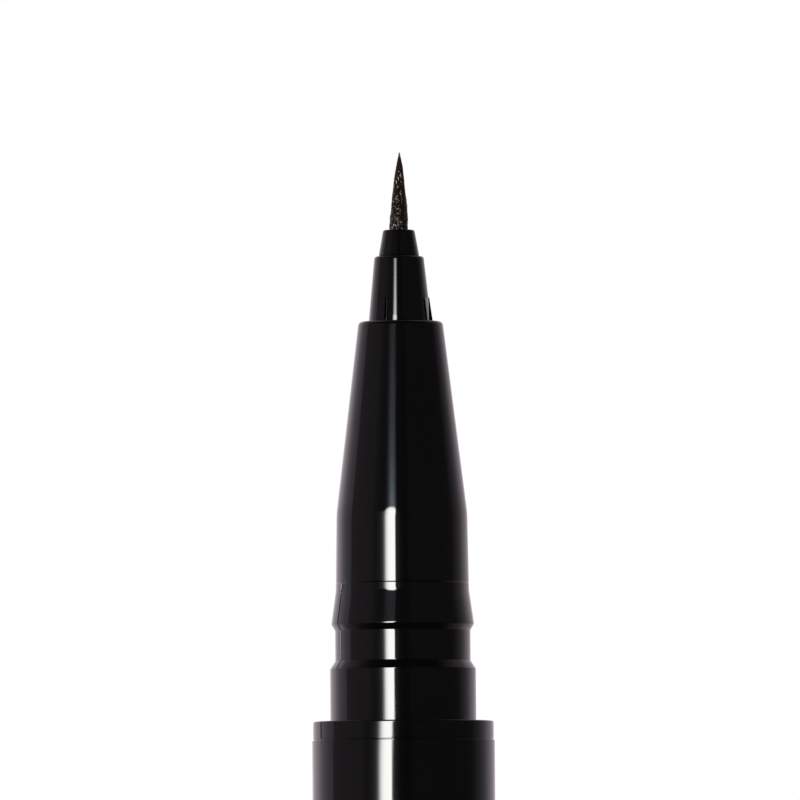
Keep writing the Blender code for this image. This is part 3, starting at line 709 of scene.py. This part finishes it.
def wet_bristle(name):
    """Dark filaments wet with ink, browner towards the thin tip."""
    finish = Finish(name)
    along = finish.spread(finish.parts(finish.place)["Z"], BRUSH_FOOT, BRUSH_HIGH.z)
    wet = finish.noise(*WET_MARKS)
    finish.set(
        IOR=1.34, Specular_Tint=(1, 0.93, 0.86, 1),
        Base_Color=finish.ramp(along, BRISTLE),
        Roughness=finish.vary(wet, 0.05, 0.11),
        Normal=finish.bump(wet, WET_DEPTH))
    return finish.material


def pale_floor(name):
    finish = Finish(name)
    finish.set(Roughness=0.85, Base_Color=finish.shades(finish.noise(*FLOOR_TONES), FLOOR))
    return finish.material


# Pieces of the pen's front

def snap_corners(start, way):
    """The snap section's corners from a collar at height start, going up or down."""
    lengths = (0, SNAP_LENGTH, LEAD_LENGTH, GROOVE_LENGTH, SNAP_RIB_DROP, FLARE_LENGTH)
    radii = (
        (SNAP_RADIUS,), (SNAP_RADIUS, SNAP_ROUNDING), (GROOVE_RADIUS, SNAP_ROUNDING),
        (GROOVE_RADIUS, SNAP_ROUNDING), (SNAP_RIB_RADIUS, SNAP_RIB_ROUNDING),
        (SLEEVE_RADIUS, FLARE_ROUNDING))
    reached = start
    corners = []
    for (radius, *rounding), length in zip(radii, lengths):
        reached += way * length
        corners.append((radius, reached, *rounding))
    return corners


def parting_relief(turn, point):
    """The parting line, on the undercuts and on the collar: a fine groove between two rims."""
    on_undercut = SNAP_TOP < point.y < WITNESS and point.x > SLEEVE_RADIUS - SEAM_GAP
    on_collar = COLLAR_BOTTOM <= point.y <= COLLAR_TOP and point.x > SNAP_RADIUS + SEAM_GAP
    if not on_undercut and not on_collar:
        return 0
    width = PARTING_WIDTH
    if SLEEVE_BOTTOM < point.y:
        width *= PARTING_WIDE_SHARE
    relief = 0
    for parting in PARTING_TURNS:
        away = abs(turn_between(turn, parting)) * point.x / width
        relief -= PARTING_DEPTH * math.exp(-(away * PARTING_SHARPNESS) ** 4)
        from_rim = (away - PARTING_RIM_PLACE_SHARE) * PARTING_RIM_SHARPNESS
        relief += PARTING_RIM * math.exp(-from_rim ** 2)
    return relief


def make_front_shell(material):
    taper = (SLEEVE_RADIUS - KNEE_RADIUS) / (KNEE - SLEEVE_BOTTOM)
    witness_radius = SLEEVE_RADIUS - taper * WITNESS_HEIGHT
    half = WITNESS_WIDTH / 2
    shank = BARREL_HIGH.x - SHANK_INSET
    shell = turned("front_shell_looks", (
        (SHELL_OPENING, LIP, SEAM_DEPTH),
        (SHELL_OPENING + LIP_WIDTH, LIP, LIP_ROUNDING, LIP_ROUNDED_SHARE),
        (KNEE_RADIUS, KNEE, KNEE_ROUNDING),
        (witness_radius, WITNESS + half),
        (witness_radius - WITNESS_DEPTH, WITNESS),
        (witness_radius, WITNESS - half),
        *reversed(snap_corners(COLLAR_TOP, 1)),
        (COLLAR_RADIUS, COLLAR_TOP, COLLAR_ROUNDING),
        (COLLAR_RADIUS, COLLAR_BOTTOM, SEAM_ROUNDING),
        (COLLAR_RADIUS - SEAM_DEPTH, COLLAR_BOTTOM),
        (COLLAR_RADIUS - SEAM_DEPTH, BARREL_HIGH.z + SEAM_SLIT),
        (shank, BARREL_HIGH.z + SEAM_SLIT),
        (shank, SHELL_LOW.z),
        (shank - SHANK_WALL, SHELL_LOW.z),
        (SHELL_BORE, KNEE),
        (SHELL_NOSE_BORE, KNEE),
        (SHELL_NOSE_BORE, LIP - SHELL_DEPTH),
        (SHELL_OPENING, LIP - SHELL_DEPTH)),
        relief=parting_relief, middles=PARTING_TURNS,
        offsets=[
            PARTING_WIDTH / SNAP_RADIUS * step / PARTING_STEPS
            for step in range(-2 * PARTING_STEPS, 2 * PARTING_STEPS + 1)])
    return fit_out(shell, "pen", "front_shell", material)


def nozzle_radius(height):
    """The nozzle's outer radius at a height: a cone above the lip, straight below it."""
    share = max(0, height - LIP) / (NOZZLE_HIGH.z - LIP)
    return NOZZLE_BASE_RADIUS + share * (NOZZLE_TOP_RADIUS - NOZZLE_BASE_RADIUS)


def fin_section(height):
    """A fin's outline across, as (aside, radius).

    Its near side has two drafts up to the shoulder, from where its crest leans away. Its far
    side is straight, with a fillet at its foot.
    """
    base = nozzle_radius(height)
    share = max(0, height - LIP) / FIN_HEIGHT
    crest = base + FIN_RISE + share * (FIN_TOP_RISE - FIN_RISE)
    shoulder = min(FIN_SHOULDER_RADIUS, crest - FIN_EDGE)
    middle = base + min(FIN_FOOT_RISE, (shoulder - base) / 2)
    spread = (shoulder - middle) * math.tan(FIN_SIDE_DRAFT)
    near = FIN_NEAR_HALF + spread + (middle - base) * math.tan(FIN_FOOT_DRAFT)
    edge = (crest - shoulder) * math.tan(FIN_CREST_DRAFT) - FIN_NEAR_HALF
    section = [
        (-near, base - FIN_SINK), (-near, base), (-FIN_NEAR_HALF - spread, middle),
        (-FIN_NEAR_HALF, shoulder), (edge, crest), (max(edge, 0) + FIN_EDGE, crest),
        (FIN_EDGE, shoulder)]
    for step in range(FIN_ARC_STEPS + 1):
        angle = math.pi / 2 * (1 - step / FIN_ARC_STEPS)
        section.append((
            FIN_EDGE + FIN_FILLET * (1 - math.sin(angle)), base + FIN_FILLET * (1 - math.cos(angle))))
    section.append((FIN_EDGE + FIN_FILLET, base - FIN_SINK))
    return section


def make_fins(material):
    """The nozzle's four thin centring fins, each sunk a little into the cone."""
    shape = bmesh.new()
    low = LIP - FIN_DEPTH
    high = LIP + FIN_HEIGHT
    for turn in FIN_TURNS:
        out = facing(turn)
        aside_way = Vector((-out.y, out.x, 0))
        rings = []
        for step in range(FIN_RINGS + 1):
            height = low + (high - low) * step / FIN_RINGS
            ring = []
            for aside, radius in fin_section(height):
                spot = out * radius + aside_way * aside
                ring.append(shape.verts.new((spot.x + tip_lean(height), spot.y, height)))
            rings.append(ring)
        skin_rings(shape, rings)
    fins = add_piece("nozzle_fins", shape, FIN_SHARPEST_SMOOTH)
    return fit_out(fins, "pen", "nozzle", material)


def make_nozzle(material):
    """The cone that carries the tip holder, flared a little at its foot."""
    seat = HOLDER_LOW.z
    foot = LIP + NOZZLE_FOOT_HEIGHT
    flared = nozzle_radius(foot) + NOZZLE_FOOT_FLARE
    nozzle = turned("nozzle_looks", (
        (NOZZLE_BORE, NOZZLE_HIGH.z),
        (NOZZLE_TOP_RADIUS, NOZZLE_HIGH.z, NOZZLE_ROUNDING),
        (nozzle_radius(foot), foot),
        (flared, LIP),
        (flared, NOZZLE_LOW.z + NOZZLE_FLANGE_HEIGHT),
        (NOZZLE_HIGH.x, NOZZLE_LOW.z + NOZZLE_FLANGE_HEIGHT),
        (NOZZLE_HIGH.x, NOZZLE_LOW.z),
        (NOZZLE_WICK_BORE, NOZZLE_LOW.z),
        (NOZZLE_WICK_BORE, seat),
        (NOZZLE_BORE, seat)), leans=True)
    return fit_out(nozzle, "pen", "nozzle", material)


def make_holder(material):
    shank = NOZZLE_BORE - FIT_GAP
    bottom = NOZZLE_HIGH.z + SEAM_GAP
    holder = turned("tip_holder_looks", (
        (HOLDER_BORE, HOLDER_HIGH.z, HOLDER_BORE_ROUNDING),
        (HOLDER_TOP_RADIUS, HOLDER_HIGH.z, HOLDER_ROUNDING),
        (HOLDER_BASE_RADIUS, bottom),
        (HOLDER_BASE_RADIUS - HOLDER_SEAM_SLANT, NOZZLE_HIGH.z + SEAM_SLIT),
        (shank, NOZZLE_HIGH.z + SEAM_SLIT),
        (shank, HOLDER_LOW.z),
        (HOLDER_BORE, HOLDER_LOW.z)), sides=INNER_SIDES, leans=True)
    return fit_out(holder, "pen", "tip_holder", material)


# Brush

def brush_share(share):
    """The brush's radius, as a share of its foot's, at a share of its height."""
    for low, high in zip(BRUSH_OUTLINE_SHARES, BRUSH_OUTLINE_SHARES[1:]):
        if share <= high[0]:
            along = max(0, share - low[0]) / (high[0] - low[0])
            return low[1] + along * (high[1] - low[1])
    return BRUSH_OUTLINE_SHARES[-1][1]


def brush_noise(turn, height, kind):
    around, along, start = kind
    up = height / MM
    return noise.noise(Vector((math.cos(turn) * around, math.sin(turn) * around, up * along + start)))


def bundle_radius(turn, height):
    """The bundle's outside without its facets: its taper, uneven lumps and a net of cells."""
    scale = brush_share((height - BRUSH_FOOT) / (BRUSH_TOP - BRUSH_FOOT))
    lump = brush_noise(turn, height, LUMPS) + FINE_LUMP_SHARE * brush_noise(turn, height, FINE_LUMPS)
    cells = math.cos(FILM_CELLS_ROUND * turn + CELL_WARP * brush_noise(turn, height, CELL_WARPS))
    cells *= math.cos(
        math.pi * height / FILM_CELL_ROW + CELL_DRIFT * brush_noise(turn, height, CELL_DRIFTS))
    outside = BRUSH_HIGH.x * FILM_RADIUS_SHARE * scale * (1 + BRUSH_LUMP_SHARE * lump)
    return outside + FILM_CELL_DEPTH * cells * min(1.0, scale * RELIEF_GROWTH)


def make_film(material):
    """The bundle's surface, from its root in the holder to just below the tip.

    Ink draws the filaments together into small flat facets, each leaning its own way.
    """
    draw = random.Random(FILM_SEED)
    shape = bmesh.new()
    rings = []
    top = BRUSH_FOOT + (BRUSH_TOP - BRUSH_FOOT) * FILM_TOP_SHARE
    step = (top - BRUSH_FOOT) / FILM_RINGS
    for ring_number in range(-1, FILM_RINGS + 1):
        ring = []
        for side in range(FILM_SIDES):
            place = side + ring_number % 2 / 2 + draw.uniform(-FACET_WANDER, FACET_WANDER)
            turn = math.tau * place / FILM_SIDES
            height = BRUSH_FOOT + step * (ring_number + draw.uniform(-FACET_WANDER, FACET_WANDER))
            relief = draw.uniform(-1, 1) * FACET_RELIEF
            if ring_number < 0:
                height = BRUSH_LOW.z
            height = min(height, top)
            share = (height - BRUSH_FOOT) / (BRUSH_TOP - BRUSH_FOOT)
            relief *= min(1.0, brush_share(share) * RELIEF_GROWTH)
            radius = bundle_radius(turn, height) + relief
            ring.append(shape.verts.new((
                math.cos(turn) * radius + tip_lean(height), math.sin(turn) * radius, height)))
        rings.append(ring)
    shape.faces.new(list(reversed(rings[0])))
    shape.faces.new(rings[-1])
    for number, (lower, upper) in enumerate(zip(rings, rings[1:])):
        for side in range(FILM_SIDES):
            after = (side + 1) % FILM_SIDES
            if number % 2:
                shape.faces.new((lower[side], lower[after], upper[side]))
                shape.faces.new((lower[after], upper[after], upper[side]))
            else:
                shape.faces.new((lower[side], upper[after], upper[side]))
                shape.faces.new((lower[side], lower[after], upper[after]))
    film = add_piece("brush_film", shape)
    film.data.shade_flat()
    return fit_out(film, "pen", "brush_tip", material)


def strand_path(draw, index):
    """The middle line of one outer filament, in and out of the film, and its radius."""
    reach = BRUSH_TOP - BRUSH_FOOT
    place = index + draw.uniform(-STRAND_PLACE_SHARE, STRAND_PLACE_SHARE)
    turn = math.tau * place / STRAND_COUNT
    twist = draw.uniform(-1, 1) * STRAND_TWIST
    phase = draw.uniform(0, math.tau)
    length = STRAND_WANDER_LENGTH * draw.uniform(*STRAND_WANDER_SHARES)
    depth = draw.uniform(*STRAND_DEPTH_SHARES) * STRAND_RADIUS
    top = 1 - (1 - STRAND_SHORTEST_SHARE) * draw.random()
    if index % (STRAND_COUNT // STRAND_LONGEST_COUNT) == 0:
        top = 1
    for ring in range(STRAND_RINGS + 1):
        share = top * ring / STRAND_RINGS
        height = BRUSH_FOOT + share * reach
        scale = brush_share(share)
        swing = math.tau * share * reach / length + phase
        turned_to = turn + twist * share * 2 + STRAND_SWAY * math.sin(swing * STRAND_SWAY_SHARE)
        radius = bundle_radius(turned_to, height) - depth + STRAND_WANDER * scale * math.sin(swing)
        radius = max(0, radius)
        past = max(0.0, (share / top - 1 + STRAND_END_SHARE) / STRAND_END_SHARE)
        end = 1 - past ** 2 * STRAND_END_LOSS_SHARE
        thickness = STRAND_LEAST_SHARE + (1 - STRAND_LEAST_SHARE) * min(1.0, scale * STRAND_GROWTH)
        point = Vector((
            math.cos(turned_to) * radius + tip_lean(height), math.sin(turned_to) * radius, height))
        yield point, STRAND_RADIUS * thickness * end


def make_strands(material):
    draw = random.Random(STRAND_SEED)
    shape = bmesh.new()
    for index in range(STRAND_COUNT):
        rings = []
        for point, radius in strand_path(draw, index):
            ring = []
            for side in range(STRAND_SIDES):
                angle = math.tau * side / STRAND_SIDES
                ring.append(shape.verts.new(
                    point + Vector((math.cos(angle), math.sin(angle), 0)) * radius))
            rings.append(ring)
        skin_rings(shape, rings)
    strands = add_piece("brush_strands", shape, STRAND_SHARPEST_SMOOTH)
    return fit_out(strands, "pen", "brush_tip", material)


# Barrel, tail and cap

def make_barrel(material):
    bore = BARREL_HIGH.x - BARREL_WALL
    mouth = BARREL_HIGH.x - BARREL_MOUTH_INSET
    barrel = turned("barrel_looks", (
        (bore, BARREL_HIGH.z),
        (mouth, BARREL_HIGH.z, SEAM_ROUNDING),
        (BARREL_HIGH.x, BARREL_LOW.z, BARREL_FOOT_ROUNDING),
        (bore, BARREL_LOW.z)))
    return fit_out(barrel, "pen", "barrel", material)


def make_tail(material):
    snap = snap_corners(TAIL_COLLAR_BOTTOM, -1)
    shank = BARREL_HIGH.x - SHANK_INSET
    tail = turned("tail_plug_looks", (
        (0, TAIL_LOW.z + TAIL_END_WALL),
        (TAIL_BORE, TAIL_LOW.z + TAIL_END_WALL),
        (TAIL_BORE, TAIL_HIGH.z),
        (shank, TAIL_HIGH.z, SHANK_ROUNDING),
        (shank, BARREL_LOW.z - SEAM_SLIT),
        (COLLAR_RADIUS - SEAM_DEPTH, BARREL_LOW.z - SEAM_SLIT),
        (COLLAR_RADIUS - SEAM_DEPTH, TAIL_COLLAR_TOP),
        (COLLAR_RADIUS, TAIL_COLLAR_TOP, COLLAR_ROUNDING),
        (COLLAR_RADIUS, TAIL_COLLAR_BOTTOM, COLLAR_ROUNDING),
        *snap,
        (SLEEVE_RADIUS, TAIL_LOW.z, TAIL_END_ROUNDING),
        (0, TAIL_LOW.z)))
    return fit_out(tail, "pen", "tail_plug", material)


def make_cap(material):
    groove_middle = SNAP_LENGTH + LEAD_LENGTH + GROOVE_LENGTH / 2
    bead = TAIL_COLLAR_BOTTOM - groove_middle
    half = CAP_BEAD_LENGTH / 2
    recess = DISC_HIGH.x + SEAM_GAP
    cap = turned("cap_looks", (
        (0, CAP_FLOOR),
        (CAP_BORE, CAP_FLOOR),
        (CAP_BORE, bead - half),
        (CAP_BORE - CAP_BEAD_HEIGHT, bead, CAP_BEAD_ROUNDING),
        (CAP_BORE, bead + half),
        (CAP_BORE, CAP_HIGH.z - CAP_CHAMFER),
        (CAP_BORE + CAP_CHAMFER, CAP_HIGH.z),
        (CAP_HIGH.x, CAP_HIGH.z, CAP_MOUTH_ROUNDING),
        (CAP_HIGH.x, 0, CAP_END_ROUNDING),
        (recess, 0, SEAM_ROUNDING),
        (recess, DISC_HIGH.z + FIT_GAP),
        (0, DISC_HIGH.z + FIT_GAP)))
    return fit_out(cap, "cap", "cap_shell", material)


def make_end_disc(material):
    rim = DISC_HIGH.x - END_DISC_RIM
    disc = turned("cap_end_disc_looks", (
        (0, DISC_HIGH.z),
        (DISC_HIGH.x, DISC_HIGH.z),
        (DISC_HIGH.x, 0, END_DISC_ROUNDING),
        (rim, 0, END_DISC_ROUNDING),
        (rim - END_DISC_DISH, END_DISC_DISH, END_DISC_ROUNDING),
        (0, END_DISC_DISH)))
    return fit_out(disc, "cap", "cap_end_disc", material)


def make_inner_cap(material):
    inner_radius = INNER_HIGH.x - INNER_CAP_STEP
    inner_bore = inner_radius - INNER_CAP_WALL
    inner = turned("inner_cap_looks", (
        (0, INNER_LOW.z + INNER_CAP_END_WALL),
        (inner_bore, INNER_LOW.z + INNER_CAP_END_WALL, INNER_CAP_ROUNDING),
        (inner_bore, INNER_HIGH.z, INNER_CAP_ROUNDING),
        (INNER_HIGH.x, INNER_HIGH.z, INNER_CAP_EDGE),
        (INNER_HIGH.x, INNER_HIGH.z - INNER_CAP_FLANGE, INNER_CAP_EDGE),
        (inner_radius, INNER_HIGH.z - INNER_CAP_FLANGE),
        (inner_radius, INNER_LOW.z, INNER_CAP_ROUNDING),
        (0, INNER_LOW.z)))
    return fit_out(inner, "inner_cap", "inner_cap", material)


def make_retainer(material):
    ring = turned("retainer_looks", (
        (RETAINER_BORE, RETAINER_HIGH.z, RETAINER_ROUNDING),
        (RETAINER_HIGH.x, RETAINER_HIGH.z, RETAINER_EDGE),
        (RETAINER_HIGH.x, RETAINER_LOW.z, RETAINER_EDGE),
        (RETAINER_BORE, RETAINER_LOW.z, RETAINER_EDGE)))
    return fit_out(ring, "cap", "inner_cap_retainer", material)


def make_spring(material):
    """The inner cap's spring, built at its full length on a mesh of its own. In the pen it shortens
    as the inner cap is pushed in.
    """
    wire = SPRING_WIRE / 2
    radius = SPRING_HIGH.x - wire
    rise = SPRING_HIGH.z - SPRING_LOW.z - SPRING_WIRE
    steps = SPRING_TURNS * SPRING_TURN_POINTS
    shape = bmesh.new()
    rings = []
    for step in range(steps + 1):
        out = facing(math.tau * step / SPRING_TURN_POINTS)
        middle = out * radius + Vector((0, 0, SPRING_LOW.z + wire + rise * step / steps))
        ring = []
        for side in range(SPRING_SIDES):
            angle = math.tau * side / SPRING_SIDES
            across = out * math.cos(angle) + Vector((0, 0, math.sin(angle)))
            ring.append(shape.verts.new(middle + across * wire))
        rings.append(ring)
    skin_rings(shape, rings)
    spring = add_piece("spring_looks", shape, SPRING_SHARPEST_SMOOTH)
    fit_out(spring, "cap", "inner_cap_spring", material)
    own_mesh(spring)


def dress_inner_pieces():
    """Finishes of the CAD pieces that stay as they are inside the pen and the cap."""
    looks = {
        "relay_wick": fibre("wick_fibre_looks"),
        "collector": moulded("collector_looks", WHITE, roughness=0.38, subsurface=0.2),
        "tank_plug": moulded("tank_plug_looks", GREY, roughness=0.42),
        "tank_stopper": moulded("stopper_looks", GREY, roughness=0.42),
        "tank_seal": rubber("tank_seal_looks"),
        "ink_tank": moulded("ink_tank_looks", MILKY, roughness=0.30, subsurface=0.4),
        "mixing_ball": steel("mixing_ball_looks", BALL_MARKS),
    }
    for node, material in looks.items():
        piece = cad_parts[node]
        piece.data.materials.clear()
        piece.data.materials.append(material)


# Stage

def make_floor():
    shape = bmesh.new()
    bmesh.ops.create_grid(shape, x_segments=FLOOR_CELLS, y_segments=FLOOR_CELLS, size=FLOOR_SIZE / 2)
    floor = add_shape("floor", shape)
    floor.data.materials.append(pale_floor("floor_looks"))
    floor.visible_glossy = False


def tinted(level, tint=(1, 1, 1)):
    return tuple(level * part for part in tint)


def make_world():
    """White to the camera, even light for matt surfaces, and a studio for gloss.

    The studio is a pale backdrop behind the object and a dark room on the camera's side.
    """
    world = bpy.data.worlds.new("studio")
    bpy.context.scene.world = world
    world.use_nodes = True
    nodes = Nodes(world.node_tree)
    way = nodes.parts(nodes.node("TexCoord").outputs["Generated"])
    turn = nodes.reckon("ARCTAN2", way["X"], nodes.reckon("MULTIPLY", way["Y"], -1))
    round_share = nodes.spread(turn, -math.pi, math.pi)
    level, steep_level = (
        nodes.ramp(round_share, [
            (degrees / 360 + 0.5, tinted(bright, STUDIO_TINT)) for degrees, bright in table])
        for table in (SURROUND, SURROUND_STEEP))
    steepness = nodes.reckon("ABSOLUTE", way["Z"])
    steep = nodes.spread(steepness, STEEP_STARTS, STEEP_REACHED, interpolation_type="SMOOTHSTEP")
    surround = nodes.mix(steep, level, steep_level)

    rays = nodes.node("LightPath").outputs
    light = nodes.mix(rays["Is Glossy Ray"], (*tinted(WORLD_DIFFUSE), 1), surround)
    seen = nodes.reckon("MAXIMUM", rays["Is Camera Ray"], rays["Is Transmission Ray"])
    back = world.node_tree.nodes["Background"]
    nodes.feed(back.inputs["Color"], nodes.mix(seen, light, (*tinted(1), 1)))
    nodes.feed(back.inputs["Strength"], 1)


def softbox_height(degrees):
    return SOFTBOX_DISTANCE * math.tan(math.radians(degrees))


def softbox_share(degrees):
    """How far up the softbox a height in degrees is."""
    bottom = softbox_height(SOFTBOX_BOTTOM)
    return (softbox_height(degrees) - bottom) / (softbox_height(SOFTBOX_TOP) - bottom)


def add_softbox_sheet():
    """The softbox's curved sheet. Its UV map carries how far across and up its light stands."""
    shape = bmesh.new()
    rows = []
    for degrees, left_aside, right_aside in SOFTBOX_ASIDE:
        fades, faded = SOFTBOX_DROOP_FADES
        kept = 1 - (1 - SOFTBOX_DROOP_KEPT) * min(1, max(0, degrees - fades) / (faded - fades))
        row = []
        for column in range(SOFTBOX_COLUMNS + 1):
            across = column / SOFTBOX_COLUMNS
            turn = SOFTBOX_LEFT + (SOFTBOX_RIGHT - SOFTBOX_LEFT) * across
            aside = left_aside + (right_aside - left_aside) * across
            spot = facing(math.radians(turn + aside)) * SOFTBOX_DISTANCE
            corner = shape.verts.new((spot.x, spot.y, SOFTBOX_HEIGHT + softbox_height(degrees)))
            away = (turn - SOFTBOX_MIDDLE) / SOFTBOX_HALF_WIDTH
            droop = min(SOFTBOX_DROOP * away ** 2, SOFTBOX_MOST_DROOP) * kept
            row.append((corner, (across, softbox_share(min(degrees + droop, SOFTBOX_TOP)))))
        rows.append(row)
    sheet = shape.loops.layers.uv.new("sheet")
    for lower, upper in zip(rows, rows[1:]):
        for column in range(SOFTBOX_COLUMNS):
            corners = (lower[column], lower[column + 1], upper[column + 1], upper[column])
            face = shape.faces.new([corner for corner, _ in corners])
            for loop, (_, spot) in zip(face.loops, corners):
                loop[sheet].uv = spot
    return add_shape("softbox", shape)


def softbox_glow():
    """Light that follows the softbox's tables across and up, and lets other light through."""
    material = bpy.data.materials.new("softbox_looks")
    material.use_nodes = True
    material.cycles.emission_sampling = "NONE"
    material.node_tree.nodes.clear()
    nodes = Nodes(material.node_tree)
    place = nodes.parts(nodes.node("TexCoord").outputs["UV"])
    width = SOFTBOX_RIGHT - SOFTBOX_LEFT
    across = [((degrees - SOFTBOX_LEFT) / width, tinted(share)) for degrees, share in SOFTBOX_SPREAD]
    up = []
    for degrees, share in SOFTBOX_FADE:
        tint = SOFTBOX_HALO_TINT if share < SOFTBOX_HALO else SOFTBOX_TINT
        up.append((softbox_share(degrees), tinted(share, tint)))
    both = nodes.node("VectorMath", operation="MULTIPLY")
    nodes.feed(both.inputs[0], nodes.ramp(place["X"], across))
    nodes.feed(both.inputs[1], nodes.ramp(place["Y"], up))
    glow = nodes.node("Emission")
    nodes.feed(glow.inputs["Strength"], SOFTBOX_LEVEL)
    nodes.feed(glow.inputs["Color"], both.outputs["Vector"])
    add = nodes.node("AddShader")
    nodes.feed(add.inputs[0], glow.outputs["Emission"])
    nodes.feed(add.inputs[1], nodes.node("BsdfTransparent").outputs["BSDF"])
    nodes.feed(nodes.node("OutputMaterial").inputs["Surface"], add.outputs["Shader"])
    return material


def make_softbox():
    """An upright strip light, left of the camera, bright to a soft top and a soft left edge.

    Its sides aren't quite straight, as those of a cloth softbox.
    """
    box = add_softbox_sheet()
    box.data.materials.append(softbox_glow())
    box.visible_camera = False
    box.visible_diffuse = False
    box.visible_shadow = False
    box.visible_transmission = False


def make_key():
    """A soft light from the upper left that gives matt surfaces their shade."""
    data = bpy.data.lights.new("key", "AREA")
    data.size = KEY_SIZE
    data.energy = KEY_POWER
    key = add_object("key", data)
    key.location = KEY_PLACE
    aim = Vector((0, 0, BRUSH_HIGH.z / 2)) - KEY_PLACE
    key.rotation_euler = aim.to_track_quat("-Z", "Y").to_euler()
    key.visible_glossy = False
    key.visible_camera = False


def make_camera():
    data = bpy.data.cameras.new("camera")
    data.sensor_width = SENSOR
    frame_width = PHOTO_PIXELS * PIXEL
    eye = Vector((0, -CAMERA_DISTANCE, BRUSH_HIGH.z - HORIZON_BELOW_TIP))
    target = Vector((PHOTO_MIDDLE_ASIDE, 0, BRUSH_HIGH.z - PHOTO_MIDDLE_BELOW_TIP))
    data.lens = SENSOR * (target - eye).length / frame_width
    data.clip_start = CAMERA_NEAR
    data.clip_end = CAMERA_FAR
    camera = add_object("camera", data)
    camera.location = eye
    camera.rotation_mode = "QUATERNION"
    aim = (target - eye).to_track_quat("-Z", "Y")
    camera.rotation_quaternion = aim @ Matrix.Rotation(-CAMERA_ROLL, 3, "Z").to_quaternion()
    bpy.context.scene.camera = camera


def main():
    bpy.context.scene.view_settings.view_transform = "Standard"
    make_camera()
    make_world()
    make_floor()
    make_softbox()
    make_key()

    front = gloss_black("front_gloss_looks")
    body = gloss_black("barrel_gloss_looks")
    make_front_shell(front)
    make_nozzle(front)
    make_fins(front)
    make_holder(gloss_black("holder_gloss_looks", roughness=0.07))
    bristle = wet_bristle("bristle_looks")
    make_film(bristle)
    make_strands(bristle)
    make_barrel(body)
    make_tail(body)
    make_cap(body)
    make_end_disc(gloss_black("disc_gloss_looks", roughness=0.12))
    make_inner_cap(moulded("inner_cap_plastic", MILKY, roughness=0.30, subsurface=0.4))
    make_retainer(moulded("retainer_plastic", GREY, roughness=0.42))
    make_spring(steel("spring_steel", SPRING_MARKS))
    dress_inner_pieces()


main()

bpy.context.view_layer.update()
